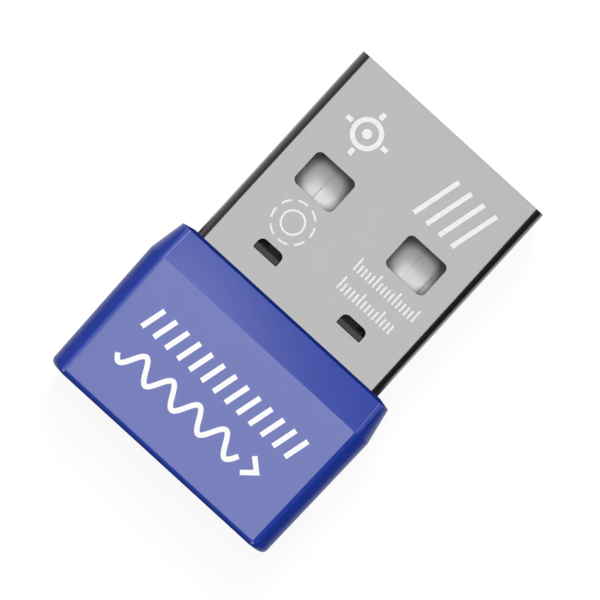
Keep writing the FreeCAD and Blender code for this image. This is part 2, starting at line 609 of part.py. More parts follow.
def main():
    os.makedirs("parts", exist_ok=True)
    write("housing_cap", housing_cap())
    write("plug_shell", plug_shell())
    write("contact_tongue", contact_tongue())
    write("latch_frame", latch_frame())
    for name, (middle, setback) in CONTACTS.items():
        write(name, contact(middle, setback))
    write("circuit_board", circuit_board())
    write("contact_solder", contact_solder())
    write("leg_solder", leg_solder())
    write("insulating_film", insulating_film())
    write("controller_body", controller_body())
    write("controller_leads", controller_leads())
    write("crystal_base", crystal_base())
    write("crystal_lid", crystal_lid())
    for name in CHIP_PARTS:
        write(name, chip_bodies(name))
    write("chip_terminals", chip_terminals())


main()
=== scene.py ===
# %% [markdown]
# # A plug-in mouse jiggler
# A small moulded cap sits on the back of a folded steel plug. The construction model already holds
# every piece at its real size, inside and out, so this lesson is about looks: a smooth blue moulding,
# nickel-plated sheet that shows how it was folded, white print, laser marks and a quiet studio.
#
# The frame comes first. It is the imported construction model, in metres, and nothing in it is moved.

# %% Load the frame
import json
import math

import bpy
import numpy as np
from mathutils.geometry import delaunay_2d_cdt
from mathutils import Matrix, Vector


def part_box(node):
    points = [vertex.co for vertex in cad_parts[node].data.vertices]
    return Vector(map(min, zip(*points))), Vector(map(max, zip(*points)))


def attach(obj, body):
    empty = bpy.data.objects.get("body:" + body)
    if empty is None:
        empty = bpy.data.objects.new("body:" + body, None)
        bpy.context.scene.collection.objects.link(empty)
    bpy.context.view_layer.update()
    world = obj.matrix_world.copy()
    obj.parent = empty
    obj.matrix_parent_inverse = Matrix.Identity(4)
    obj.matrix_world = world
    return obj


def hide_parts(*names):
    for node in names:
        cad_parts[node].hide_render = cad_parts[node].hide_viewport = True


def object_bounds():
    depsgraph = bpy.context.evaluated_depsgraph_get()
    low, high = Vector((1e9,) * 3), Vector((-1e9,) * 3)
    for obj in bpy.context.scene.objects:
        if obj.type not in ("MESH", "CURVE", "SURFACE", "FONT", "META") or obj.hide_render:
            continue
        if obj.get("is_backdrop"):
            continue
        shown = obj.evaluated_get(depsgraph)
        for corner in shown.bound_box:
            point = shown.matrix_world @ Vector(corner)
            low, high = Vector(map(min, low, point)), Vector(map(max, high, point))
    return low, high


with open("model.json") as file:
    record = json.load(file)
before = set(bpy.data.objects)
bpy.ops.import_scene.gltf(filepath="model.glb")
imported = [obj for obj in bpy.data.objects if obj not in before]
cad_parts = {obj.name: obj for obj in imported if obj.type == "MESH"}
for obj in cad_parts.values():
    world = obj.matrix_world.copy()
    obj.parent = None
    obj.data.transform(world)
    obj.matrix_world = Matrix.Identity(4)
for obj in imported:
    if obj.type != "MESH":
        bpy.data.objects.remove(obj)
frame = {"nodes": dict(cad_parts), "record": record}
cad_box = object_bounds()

MM = 0.001                    # this lesson's own unit: sizes are in millimetres, the scene is in metres


def box(node):
    """The lowest and highest corner of a node, in millimetres."""
    low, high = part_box(node)
    return np.array(low) / MM, np.array(high) / MM


cap_low, cap_high = box("housing_cap")
shell_low, shell_high = box("plug_shell")
board_high = box("circuit_board")[1]
print("nodes:", len(frame["nodes"]))
print("cap:", (cap_high - cap_low).round(2), "| plug:", (shell_high - shell_low).round(2))

# %% [markdown]
# ## The camera
# The plug is looked at from straight above through a long lens, so that its sides stay parallel, as in
# a catalogue picture. A Track To constraint could aim the camera, but here a single turn about Z says
# the same thing: how far the plug leans over in the picture.

# %% Camera
VIEW_WIDTH = 29.56            # what the picture spans at the height of the plug's folded corners
FOLD_DEPTH = 0.50             # how far below the plug's top that is
CAMERA_DISTANCE = 300.0
SENSOR_WIDTH = 36.0
CLIP = (0.01, 10.0)           # nearest and furthest that the camera sees, in metres
LOOK_AT = (-0.03, 0.94)
PLUG_LEAN = math.radians(47.59)        # from the picture's horizontal to the plug's axis

camera_data = bpy.data.cameras.new("camera")
camera_data.sensor_width = SENSOR_WIDTH
camera_data.lens = SENSOR_WIDTH * CAMERA_DISTANCE / VIEW_WIDTH
camera_data.clip_start, camera_data.clip_end = CLIP
camera = bpy.data.objects.new("camera", camera_data)
camera_height = shell_high[2] - FOLD_DEPTH + CAMERA_DISTANCE
camera.location = (LOOK_AT[0] * MM, LOOK_AT[1] * MM, camera_height * MM)
camera.rotation_euler = (0.0, 0.0, math.pi / 2 - PLUG_LEAN)
bpy.context.scene.collection.objects.link(camera)
bpy.context.scene.camera = camera
bpy.context.scene.view_settings.view_transform = "Standard"
print("lens:", round(camera_data.lens, 1), "mm")

# %% [markdown]
# ## Shader nodes in one line each
# Every finish is a small net of nodes. Wiring a net by hand takes three lines a node: make it, set its
# values, link it. One helper does all three, so that a net reads from top to bottom like a recipe. An
# underscore stands for a space in a socket's name, and i0, i1 pick sockets by number.

# %% A helper for nodes
def cleared_tree(owner):
    """The node tree of a world or a material, without the nodes that it starts with."""
    owner.use_nodes = True
    owner.node_tree.nodes.clear()
    return owner.node_tree


def add(tree, kind, **values):
    """Adds a node. A value named like one of the node's own settings is set there. Any other goes to
    the input of its name: a socket, or a node's first output, is linked to it, and the rest is set."""
    node = tree.nodes.new(kind)
    for name, value in values.items():
        if hasattr(node, name):
            setattr(node, name, value)
            continue
        by_number = name[0] == "i" and name[1:].isdigit()
        target = node.inputs[int(name[1:]) if by_number else name.replace("_", " ")]
        if isinstance(value, bpy.types.Node):
            value = value.outputs[0]
        if isinstance(value, bpy.types.NodeSocket):
            tree.links.new(value, target)
        else:
            target.default_value = value
    return node


print("node helper ready")

# %% [markdown]
# A few kinds of node turn up in almost every net: a sum, the same for vectors, a value that steps
# softly from one level to another, and the place on the object. The place comes from Object
# coordinates, which are in metres, and a Mapping node turns them into millimetres. Generated
# coordinates would do for a texture, but they stretch with the object's box, so they can't say how
# large a grain is.

# %% Sums, steps and places
def math_node(tree, operation, first, *others):
    """Takes numbers or sockets together by one operation, from left to right."""
    for value in others or [0.0]:
        first = add(tree, "ShaderNodeMath", operation=operation, i0=first, i1=value).outputs[0]
    return first


def vector_node(tree, operation, a, b=(0.0, 0.0, 0.0)):
    """The same for two vectors. A length or a dot product is a number, other results are vectors."""
    node = add(tree, "ShaderNodeVectorMath", operation=operation, i0=a, i1=b)
    return node.outputs["Value" if operation in ("LENGTH", "DOT_PRODUCT") else "Vector"]


def parts_of(tree, vector):
    """A vector's X, Y and Z."""
    return add(tree, "ShaderNodeSeparateXYZ", Vector=vector).outputs


def soft_step(tree, value, edge, low=0.0, high=1.0):
    """From low to high while a value goes from one end of an edge to the other."""
    return add(tree, "ShaderNodeMapRange", Value=value, From_Min=edge[0], From_Max=edge[1],
               To_Min=low, To_Max=high).outputs["Result"]


def vary(tree, value, low, high):
    """Stretches a value from 0...1 to low...high."""
    return soft_step(tree, value, (0.0, 1.0), low, high)


def millimetres(tree):
    """The place on the object, in millimetres."""
    metres = add(tree, "ShaderNodeTexCoord").outputs["Object"]
    return add(tree, "ShaderNodeMapping", Vector=metres, Scale=(1 / MM, 1 / MM, 1 / MM)).outputs[0]


print("sums, steps and places ready")

# %% [markdown]
# ## The room, as mirrors see it
# A small product like this is shown on white, under a softbox. The metal here behaves like a mirror, so
# its flat top shows one even piece of softbox. Its folded corners look dark all the same, because a
# studio stands dark flags on both sides of the plug and behind the cap, and mirrors see those. The
# flags aren't quite black: they catch some light, most near the table and on the left. Planes could
# play the flags, but they would also shade the plug, so they are painted on the world.

# %% How bright the flags are
ROOM_HORIZON = 0.16                    # how bright a flag is at the table's level
ROOM_ZENITH = 0.06                     # and high up
ROOM_TOP = 0.7                         # that high: the sine of the angle above the table
ROOM_SLANT = (-0.85, 0.0, 0.0)         # how much brighter it is towards each side
ROOM_SPREAD = (0.0, -0.8, 0.0)         # and along each axis, both ways

world = bpy.data.worlds.new("room")
bpy.context.scene.world = world
tree = cleared_tree(world)
direction = add(tree, "ShaderNodeTexCoord").outputs["Generated"]
squares = vector_node(tree, "MULTIPLY", direction, direction)
across, along, height = parts_of(tree, direction)

slant = vector_node(tree, "DOT_PRODUCT", direction, ROOM_SLANT)
spread = vector_node(tree, "DOT_PRODUCT", squares, ROOM_SPREAD)
fall = soft_step(tree, height, (0.0, ROOM_TOP), ROOM_HORIZON, ROOM_ZENITH)
flags = math_node(tree, "MULTIPLY", fall, math_node(tree, "ADD", slant, spread, 1.0))
print("flag brightness at the table's level:", ROOM_HORIZON)

# %% [markdown]
# The world has no surfaces, so a flag is a lane: the directions close to one side. The sine of the
# angle from that side says how far a direction lies outside the lane. Past the flags, mirrors see the
# same white backdrop as the camera does.

# %% Where the flags are
SIDE_LANE = (0.28, 0.58)               # a side flag's soft edge
REAR_LANE = (0.12, 0.35)               # and the rear one's
FRONT_HEIGHT = (0.38, 0.62)            # the rear flag goes on overhead, and down to here in front
CEILING = (0.80, 0.92)                 # mirrors see a dark ceiling above this height
WHITE = (1.0, 1.0, 1.0, 1.0)

flat_length = math_node(tree, "SQRT", vector_node(tree, "DOT_PRODUCT", squares, (1.0, 1.0, 0.0)))
forwards = math_node(tree, "DIVIDE", along, flat_length)
sideward = math_node(tree, "ABSOLUTE", math_node(tree, "DIVIDE", across, flat_length))
under_flag = math_node(tree, "MULTIPLY", forwards, soft_step(tree, height, FRONT_HEIGHT, 1.0, 0.0))
off_sides = soft_step(tree, math_node(tree, "ABSOLUTE", forwards), SIDE_LANE)
off_rear = soft_step(tree, math_node(tree, "MAXIMUM", sideward, under_flag), REAR_LANE)
below_ceiling = soft_step(tree, height, CEILING, 1.0, 0.0)

rays = add(tree, "ShaderNodeLightPath").outputs
open_wall = math_node(tree, "MULTIPLY", off_sides, off_rear, below_ceiling, rays["Is Glossy Ray"])
backdrop = math_node(tree, "MAXIMUM", open_wall, rays["Is Camera Ray"], rays["Is Transmission Ray"])
room = add(tree, "ShaderNodeBackground", Color=WHITE, Strength=flags)
paper = add(tree, "ShaderNodeBackground", Color=WHITE)
sky = add(tree, "ShaderNodeMixShader", i0=backdrop, i1=room, i2=paper)
add(tree, "ShaderNodeOutputWorld", Surface=sky)
print("the side flags reach", round(math.degrees(math.asin(SIDE_LANE[1]))), "degrees off the side")

# %% [markdown]
# ## The lamps
# An area lamp's brightness, as a mirror sees it, is its power over pi times its area. So each lamp is
# described by its size and that brightness, and the power follows. The softbox hangs flat over the
# plug. A wide lamp above it and a fill, which leans in from the top of the picture, reach into the
# plug's windows, and a strip on each side brightens what faces sideways. Mirrors see none of these but
# the softbox, so they add no second highlight. Last, an edge light gives the cap's upper left edge a
# bright line. It lights gloss alone, and light linking keeps it off everything but the cap.

# %% Lamps
SOFTBOX_TURN = math.radians(-8.0)      # from square with the picture

picture_right = np.array([math.sin(PLUG_LEAN), math.cos(PLUG_LEAN), 0.0])
picture_up = np.array([-math.cos(PLUG_LEAN), math.sin(PLUG_LEAN), 0.0])


def area_lamp(name, width, length, radiance, place, mirrored=False, turn=None):
    """A rectangular lamp. `place` is right, up and above, as the picture sees it, in mm. It faces the
    origin, or straight down if it is given a turn from square with the picture."""
    data = bpy.data.lights.new(name, "AREA")
    data.shape = "RECTANGLE"
    data.size = width * MM
    data.size_y = length * MM
    data.energy = radiance * math.pi * data.size * data.size_y
    lamp = bpy.data.objects.new(name, data)
    where = (picture_right * place[0] + picture_up * place[1] + np.array([0, 0, place[2]])) * MM
    lamp.location = where
    if turn is None:
        tilt = math.atan2(math.hypot(place[0], place[1]), place[2])
        lamp.rotation_euler = (0, tilt, math.atan2(where[1], where[0]))
    else:
        lamp.rotation_euler = (0, 0, math.pi / 2 - PLUG_LEAN - turn)
    lamp.visible_glossy = mirrored
    lamp.visible_camera = False
    bpy.context.scene.collection.objects.link(lamp)
    print(name, "power:", round(data.energy, 4), "W")
    return lamp


area_lamp("softbox", 49.0, 62.0, 1.25, (2.0, 1.0, 100.0), mirrored=True, turn=SOFTBOX_TURN)
area_lamp("top_light", 150.0, 150.0, 4.6, (30.0, 60.0, 300.0))
area_lamp("fill", 60.0, 60.0, 33.0, (34.0, 152.0, 250.0))
area_lamp("left_strip", 100.0, 200.0, 6.0, (-221.0, 202.0, 80.0))
area_lamp("right_strip", 100.0, 200.0, 7.3, (221.0, -202.0, 80.0))

edge_light = area_lamp("edge_light", 70.0, 160.0, 0.68, (-51.6, 47.1, 96.3), mirrored=True)
edge_light.visible_diffuse = False
edge_lit = bpy.data.collections.new("edge_lit")
edge_light.light_linking.receiver_collection = edge_lit

# %% [markdown]
# ## The table
# The table is white. Seen by the camera or in a mirror it glows by itself and only lets the object's
# shadow through, which keeps the background clean without overexposing the plug. A brighter lamp would
# whiten the table too, but it would bleach the object first. In a mirror the table gets darker with
# distance, as a lit sheet of paper does towards its edges.

# %% A glowing table
TABLE_DROP = 0.02                      # below the cap, so that the two surfaces don't coincide
TABLE_GLOW = 0.90
TABLE_SHADED = (0.12, 0.12, 0.12, 1.0)  # the part of its brightness that the object can shade
MIRRORED_GLOW = (0.85, 0.15)           # how white a mirror sees it, beside the plug and far off
MIRRORED_REACH = 28.0                  # how far off that is

bpy.ops.mesh.primitive_plane_add(size=2.0, location=(0, 0, cad_box[0].z - TABLE_DROP * MM))
table = bpy.context.object
table.name = "table"
table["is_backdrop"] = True
table_paper = bpy.data.materials.new("table_paper")
tree = cleared_tree(table_paper)
rays = add(tree, "ShaderNodeLightPath").outputs
spot = millimetres(tree)
across, along, _ = parts_of(tree, spot)

glow_reach = (cap_high[0], MIRRORED_REACH)
mirrored_glow = soft_step(tree, vector_node(tree, "LENGTH", spot), glow_reach, *MIRRORED_GLOW)
glow_level = vary(tree, rays["Is Glossy Ray"], TABLE_GLOW, mirrored_glow)
glow = add(tree, "ShaderNodeEmission", Color=WHITE, Strength=glow_level)
shaded = add(tree, "ShaderNodeBsdfDiffuse", Color=TABLE_SHADED)
clean = add(tree, "ShaderNodeAddShader", i0=glow, i1=shaded)
print("table at", round(cad_box[0].z / MM, 2), "mm")

# %% [markdown]
# Glossy sides that lean over a white table go pale, so a studio lays dark card around them. Here only
# mirrors see that card. It reaches from just in front of the cap's shoulder backwards, with a
# soft-edged hole under the cap, and it is painted a little paler on the left: painted light from the
# lamps on that side. To every other kind of ray the table is plain matt paint, which throws soft light
# up at the object.

# %% The dark card, and the table's surface
CARD_FRONT = (0.2, 1.4)                # the card's soft front edge
CARD_HOLE = (-3.0, 3.0)                # and its hole's soft edge, from the cap's sides outwards
CARD_GREY = (0.045, 0.0)               # left and right; the paler left is painted light
CARD_BLEND = (-6.0, 6.0)               # it goes from one to the other between these
TABLE_PAINT = (0.8, 0.8, 0.8, 1.0)

beside = math_node(tree, "SUBTRACT", math_node(tree, "ABSOLUTE", across), cap_high[0])
behind = math_node(tree, "SUBTRACT", cap_low[1], along)
hole_edge = soft_step(tree, math_node(tree, "MAXIMUM", beside, behind), CARD_HOLE)
front_edge = soft_step(tree, along, CARD_FRONT, 1.0, 0.0)
card_here = math_node(tree, "MULTIPLY", front_edge, hole_edge, rays["Is Glossy Ray"])
card = add(tree, "ShaderNodeBsdfDiffuse", Color=soft_step(tree, across, CARD_BLEND, *CARD_GREY))
carded = add(tree, "ShaderNodeMixShader", i0=card_here, i1=clean, i2=card)

matt_white = add(tree, "ShaderNodeBsdfDiffuse", Color=TABLE_PAINT)
seen = math_node(tree, "MAXIMUM", rays["Is Camera Ray"], rays["Is Glossy Ray"],
                 rays["Is Transmission Ray"])
surface = add(tree, "ShaderNodeMixShader", i0=seen, i1=matt_white, i2=carded)
add(tree, "ShaderNodeOutputMaterial", Surface=surface)
table.data.materials.append(table_paper)
print("card starts", CARD_FRONT[1], "mm in front of the shoulder")

# %% [markdown]
# ## Finishes, and their scale
# At this size a pattern only looks right if its grain is right, so every pattern is given in
# millimetres. A noise with a scale of 1 then has lumps about a millimetre across. Each finish starts
# as one Principled shader. What is the same all over is set on the shader, and what changes from spot
# to spot is linked to it: a colour, a roughness, and a relief that tilts the surface.

# %% Starting a finish
finishes = {}


def finish(name, **sockets):
    """Starts a finish: a material with one Principled shader, which gets its plain values. Returns the
    node tree, the shader and the place in millimetres."""
    finishes[name] = bpy.data.materials.new(name)
    tree = cleared_tree(finishes[name])
    shader = add(tree, "ShaderNodeBsdfPrincipled", **sockets)
    add(tree, "ShaderNodeOutputMaterial", Surface=shader)
    return tree, shader, millimetres(tree)


def paint(tree, shader, **sockets):
    """Links values that change over the surface to the shader's sockets."""
    for name, value in sockets.items():
        tree.links.new(value, shader.inputs[name.replace("_", " ")])


def relief(tree, shader, height, depth):
    """Lets a height from 0 to 1 tilt the surface, as if it were `depth` millimetres deep."""
    bump = add(tree, "ShaderNodeBump", Strength=1.0, Height=height, Distance=depth * MM)
    paint(tree, shader, Normal=bump.outputs[0])


print("ready to start finishes")

# %% Patterns and colours
def noise(tree, place, grain, detail=2.0, squeeze=None):
    """Cloudy noise from 0 to 1, with lumps of about `grain` millimetres. A place that is squeezed along
    one axis draws them out along the others."""
    if squeeze:
        place = add(tree, "ShaderNodeMapping", Vector=place, Scale=squeeze)
    return add(tree, "ShaderNodeTexNoise", Vector=place, Scale=1 / grain, Detail=detail).outputs["Fac"]


def blend(tree, amount, low, high):
    """Mixes two colours by a value. Each colour is three numbers, or a socket that gives one."""
    low, high = (c if isinstance(c, bpy.types.NodeSocket) else (*c, 1.0) for c in (low, high))
    return add(tree, "ShaderNodeMix", data_type="RGBA", i0=amount, i6=low, i7=high).outputs[2]


def tint(tree, amount, low, high, sharpness=1.0):
    """The same, but a sharpness over 1 leaves less of the blend between the two."""
    spread = 0.5 / sharpness
    return blend(tree, soft_step(tree, amount, (0.5 - spread, 0.5 + spread)), low, high)


print("patterns and colours ready")

# %% [markdown]
# ## The blue moulding
# The cap is a glossy polymer, moulded in a tool with a very fine spark-eroded texture. From a distance
# the texture is only a softer edge to each reflection. Close up it is a grain of a few hundredths of a
# millimetre. So the colour hardly changes, the roughness changes a little more, and a shallow relief
# carries the grain. Flow while the mould fills leaves a faint, wide unevenness in the pigment. The face
# that the plug comes out of isn't polished: it has no gloss, and its blue is painted deeper, as painted
# shade.

# %% Cap plastic
BLUE = (0.0138, 0.0438, 0.368)
BLUE_DEEP = (0.0132, 0.0420, 0.353)
# a deeper blue painted on the front face: painted shade
BLUE_PAINTED_SHADE = (0.0090, 0.0290, 0.245)
CAP_ROUGH = (0.13, 0.20)
SHOULDER_FACE = (-0.17, -0.15)         # where polish starts and painted shade ends, behind the front face


def cap_plastic():
    tree, shader, place = finish("cap_plastic", IOR=1.71)
    flow = noise(tree, place, grain=2.5, squeeze=(1.0, 0.35, 1.0))
    grain = noise(tree, place, grain=0.045, detail=3.0)
    polished_unshaded = soft_step(tree, parts_of(tree, place)["Y"], SHOULDER_FACE, 1.0, 0.0)
    # the front face gets the deeper blue: painted shade
    blue = blend(tree, polished_unshaded, BLUE_PAINTED_SHADE, tint(tree, flow, BLUE_DEEP, BLUE))
    rough = vary(tree, grain, *CAP_ROUGH)
    paint(tree, shader, Base_Color=blue, Roughness=rough, Specular_IOR_Level=polished_unshaded)
    relief(tree, shader, grain, depth=0.0004)


cap_plastic()
print("cap plastic:", BLUE)

# %% [markdown]
# ## Nickel-plated sheet
# The shell is cold-rolled steel with bright nickel on it. Rolling leaves faint lines along the strip,
# which here run across the plug, and plating rounds them off to a satin. A metal has no colour of its
# own under its shine, so all the detail is in how rough it is and in a very shallow relief. Inside the
# plug the sheet is painted dark, as painted shade in the hollow, and how deep a spot lies under the
# outer skin says where.

# %% Shell steel
NICKEL = (0.402, 0.402, 0.402)
NICKEL_WORN = (0.392, 0.391, 0.390)
# painted shade: the inside of the plug is painted dark
SHADED_INNER_STEEL = (0.09, 0.09, 0.09)
SHELL_ROUGH = (0.11, 0.19)
WALL_DEPTH = 0.29             # the inner skin starts this far under the outer one


def inside_plug(tree, place):
    """1 within the plug's hollow and on its walls' inner skin, fading to 0 through the sheet."""
    apart = parts_of(tree, vector_node(tree, "ABSOLUTE", place))
    past_side = math_node(tree, "SUBTRACT", apart["X"], shell_high[0] - WALL_DEPTH)
    past_top = math_node(tree, "SUBTRACT", apart["Z"], shell_high[2] - WALL_DEPTH)
    past = math_node(tree, "MAXIMUM", past_side, past_top)
    return soft_step(tree, past, (0.0, WALL_DEPTH / 2), 1.0, 0.0)


def shell_steel():
    tree, shader, place = finish("shell_steel", Metallic=1.0)
    rolled = noise(tree, place, grain=1.0, detail=3.0, squeeze=(0.6, 14.0, 0.6))
    clouds = noise(tree, place, grain=1.8)
    pores = noise(tree, place, grain=0.06)
    plate = tint(tree, clouds, NICKEL_WORN, NICKEL)
    # inside the plug the base colour is painted dark: painted shade in the hollow
    paint(tree, shader, Base_Color=blend(tree, inside_plug(tree, place), plate, SHADED_INNER_STEEL),
          Roughness=vary(tree, rolled, *SHELL_ROUGH))
    relief(tree, shader, math_node(tree, "ADD", rolled, pores), depth=0.0002)


shell_steel()
print("nickel:", NICKEL)

# %% [markdown]
# ## Plastics inside the plug
# The tongue under the contacts is a pale glass-filled nylon, a little glossy, with short fibres just
# under the skin. The latch frame is the same sort of plastic in black. Both are noise and a roughness,
# with different colours, so one function makes them.
#
# The floor below each window is painted darker under the windows' rims: painted shade, lightest
# in the middle. The distance from a rounded rectangle says where: how far a spot lies outside a
# smaller rectangle, which leaves its corners round.

# %% Tongue and latch frame
WINDOW = (2.5, 2.0, 0.28)     # width, length and corner radius of the windows above the tongue
WINDOW_PITCH = 6.1
WINDOW_SETBACK = 5.05         # from the mouth to the near edge
SHADE_CORNER = 0.9             # the unshaded floor's corner radius
SHADE_EDGE = (0.52, 0.95)      # where the painted shade starts and is darkest, from the smaller rectangle
SHADE_END = (1.5, 2.2)         # and where it fades out and ends again, in the dark
SHADE_SHIFT = 0.12             # the unshaded floor is longer by twice this, all of it at the rear
# how dark the painted shade gets
SHADE_DARK = 0.3


# Painted shade: darker under the windows' rims, lightest in the middle of each window.
def shade_under_rims(tree, place, colour):
    """The colour, darkened under the windows' rims by painted shade."""
    middle = (WINDOW_PITCH / 2, shell_high[1] - WINDOW_SETBACK - WINDOW[1] / 2 - SHADE_SHIFT, 0.0)
    reach = (WINDOW[0] / 2 - SHADE_CORNER, WINDOW[1] / 2 - SHADE_CORNER + SHADE_SHIFT, 2 * shell_high[2])
    from_middle = vector_node(tree, "SUBTRACT", vector_node(tree, "ABSOLUTE", place), middle)
    past_reach = vector_node(tree, "SUBTRACT", vector_node(tree, "ABSOLUTE", from_middle), reach)
    outside = vector_node(tree, "LENGTH", vector_node(tree, "MAXIMUM", past_reach))
    near = soft_step(tree, outside, SHADE_EDGE, 1.0, SHADE_DARK)
    far = soft_step(tree, outside, SHADE_END)
    return vector_node(tree, "MULTIPLY", colour, math_node(tree, "MAXIMUM", near, far))


def nylon(name, light, dark, rough, level):
    """Nylon with short fibres in it, from light to dark."""
    tree, shader, place = finish(name, Specular_IOR_Level=level)
    fibres = noise(tree, place, grain=1.0, detail=3.0, squeeze=(9.0, 1.5, 9.0))
    skin = noise(tree, place, grain=0.05)
    # the base colour carries painted shade under the windows' rims
    paint(tree, shader, Base_Color=shade_under_rims(tree, place, tint(tree, fibres, dark, light)),
          Roughness=vary(tree, skin, *rough))
    relief(tree, shader, skin, depth=0.001)


nylon("tongue_plastic", (0.90, 0.90, 0.89), (0.86, 0.86, 0.85), rough=(0.29, 0.39), level=0.3)
nylon("frame_plastic", (0.030, 0.030, 0.031), (0.024, 0.024, 0.025), rough=(0.31, 0.41), level=0.5)
print("plastics:", [m for m in finishes if m.endswith("plastic")])

# %% [markdown]
# ## Nickel, solder and tin
# The contacts are bronze strip under satin nickel, with the strip mill's lines along their length. The
# plating covers the part that a port's springs touch, and the strip behind it is dark. Solder
# freezes with a bright, slightly frosted skin, and the chip's leads are dull tin. All are metals, and
# differ in colour, roughness and grain.

# %% Contact nickel and the soft metals
PLATED_FROM = (2.6, 2.9)      # the plating starts between these, in front of the latch frame
CONTACT_NICKEL = (0.86, 0.86, 0.855)
CONTACT_NICKEL_WORN = (0.80, 0.80, 0.795)
# a dark colour for the strip behind the plating
DARK_BRONZE = (0.05, 0.045, 0.04)
CONTACT_ROUGH = (0.40, 0.48)


def plated(name, light, dark, rough, squeeze, depth):
    """A plated metal with a grain drawn out by `squeeze`, from smooth and light to rough and dark."""
    tree, shader, place = finish(name, Metallic=1.0)
    streaks = noise(tree, place, grain=1.0, detail=4.0, squeeze=squeeze)
    paint(tree, shader, Base_Color=tint(tree, streaks, light, dark, sharpness=1.5),
          Roughness=vary(tree, streaks, *rough))
    relief(tree, shader, streaks, depth)


def contact_nickel():
    tree, shader, place = finish("contact_nickel", Metallic=0.1)
    streaks = noise(tree, place, grain=1.0, detail=4.0, squeeze=(16.0, 0.7, 16.0))
    plating = soft_step(tree, parts_of(tree, place)["Y"], PLATED_FROM)
    nickel = tint(tree, streaks, CONTACT_NICKEL_WORN, CONTACT_NICKEL)
    # the base colour carries painted shade under the windows' rims
    paint(tree, shader, Base_Color=shade_under_rims(tree, place, blend(tree, plating, DARK_BRONZE, nickel)),
          Roughness=vary(tree, streaks, *CONTACT_ROUGH))
    relief(tree, shader, streaks, depth=0.0006)


contact_nickel()
plated("solder", (0.74, 0.74, 0.75), (0.60, 0.60, 0.61), (0.20, 0.42), (9.0, 9.0, 9.0), 0.003)
plated("tinned_copper", (0.68, 0.68, 0.67), (0.56, 0.56, 0.55), (0.36, 0.50), (14.0, 14.0, 14.0), 0.001)
plated("can_steel", (0.62, 0.60, 0.55), (0.56, 0.54, 0.49), (0.18, 0.30), (0.8, 12.0, 0.8), 0.0005)
print("finishes so far:", len(finishes))

# %% [markdown]
# ## The circuit board
# A board is woven glass under green lacquer. The weave shows through as a faint grid, half a millimetre
# apart. Two Wave textures, one across the other, give the two threads, and the larger of them at each
# point is the thread on top.

# %% Board laminate
WEAVE_PITCH = 0.45
WAVE_TURN = 20.0              # a Wave texture turns through this for each unit of its scale
BOARD_GREEN = (0.012, 0.052, 0.026)
BOARD_GREEN_LIGHT = (0.020, 0.080, 0.040)


def board_laminate():
    tree, shader, place = finish("board_laminate", Roughness=0.28)
    scale = 2 * math.pi / (WAVE_TURN * WEAVE_PITCH)
    threads = [add(tree, "ShaderNodeTexWave", bands_direction=axis, Vector=place, Scale=scale)
               for axis in ("X", "Y")]
    weave = math_node(tree, "MAXIMUM", *(thread.outputs["Fac"] for thread in threads))
    paint(tree, shader, Base_Color=tint(tree, weave, BOARD_GREEN, BOARD_GREEN_LIGHT))
    relief(tree, shader, weave, depth=0.006)


board_laminate()
print("weave pitch:", WEAVE_PITCH, "mm")

# %% [markdown]
# ## Chips, ceramics and film
# What is soldered to the board is fired or cast: black epoxy full of silica, tan ceramic in layers, a
# resistor whose top is glazed and whose edge is white. Speckle is the same recipe for all of them, with
# other colours and grain. The resistor and the capacitors add a second colour by height.

# %% Cast and fired bodies
def speckled(name, ground, fleck, grain, roughness, depth):
    """A cast or fired body: flecks of one colour in a ground of another, felt as a fine relief."""
    tree, shader, place = finish(name, Roughness=roughness)
    flecks = noise(tree, place, grain=grain, detail=4.0)
    paint(tree, shader, Base_Color=tint(tree, flecks, ground, fleck, sharpness=2.5))
    relief(tree, shader, flecks, depth)


def layered(name, above, below, level, blur):
    """One colour over another, changing at a height of `level` millimetres over the board."""
    tree, shader, place = finish(name, Roughness=0.3)
    edge = board_high[2] + level
    ripple = math_node(tree, "MULTIPLY", noise(tree, place, grain=0.12), blur)
    ragged = math_node(tree, "ADD", parts_of(tree, place)["Z"], ripple)
    share = soft_step(tree, ragged, (edge, edge + blur))
    paint(tree, shader, Base_Color=tint(tree, share, below, above))
    relief(tree, shader, ripple, depth=0.02)


speckled("chip_black", (0.018, 0.018, 0.020), (0.035, 0.035, 0.037), 0.08, 0.55, 0.004)
speckled("crystal_ceramic", (0.05, 0.045, 0.042), (0.09, 0.085, 0.08), 0.06, 0.5, 0.003)
speckled("film", (0.52, 0.24, 0.035), (0.60, 0.30, 0.05), 0.8, 0.22, 0.0015)
layered("capacitor_ceramic", (0.42, 0.29, 0.17), (0.36, 0.24, 0.14), level=0.1, blur=0.3)
layered("resistor_glaze", (0.012, 0.012, 0.014), (0.70, 0.69, 0.66), level=0.26, blur=0.03)
layered("fuse_ceramic", (0.03, 0.16, 0.07), (0.72, 0.71, 0.66), level=0.36, blur=0.04)
print("finishes:", len(finishes))

# %% [markdown]
# ## Dress the construction model
# The record says which material slot every node takes. The loop reads it there, so a node that is
# added later gets its finish with no change here.

# %% Give every node its finish
for part in frame["record"]["subparts"]:
    mesh = frame["nodes"][part["node"]].data
    mesh.materials.clear()
    mesh.materials.append(finishes[part["material_slot"]])

# %% [markdown]
# ## Making a mesh from arrays
# The construction model's meshes are flat facets, which is enough for size and weight. On a polished
# fold each facet shows as a stripe, so the shell and the cap are made again here, smooth and at exactly
# the same size. A Subdivision Surface could smooth them, but it also rounds the holes and shrinks the
# corners. Working each surface out from its formula keeps every size true.
#
# The normals are given too. Where a wide flat face meets a narrow curved one, Blender's own average
# would let the curve's shading leak into the flat, so each corner follows the largest face around it.

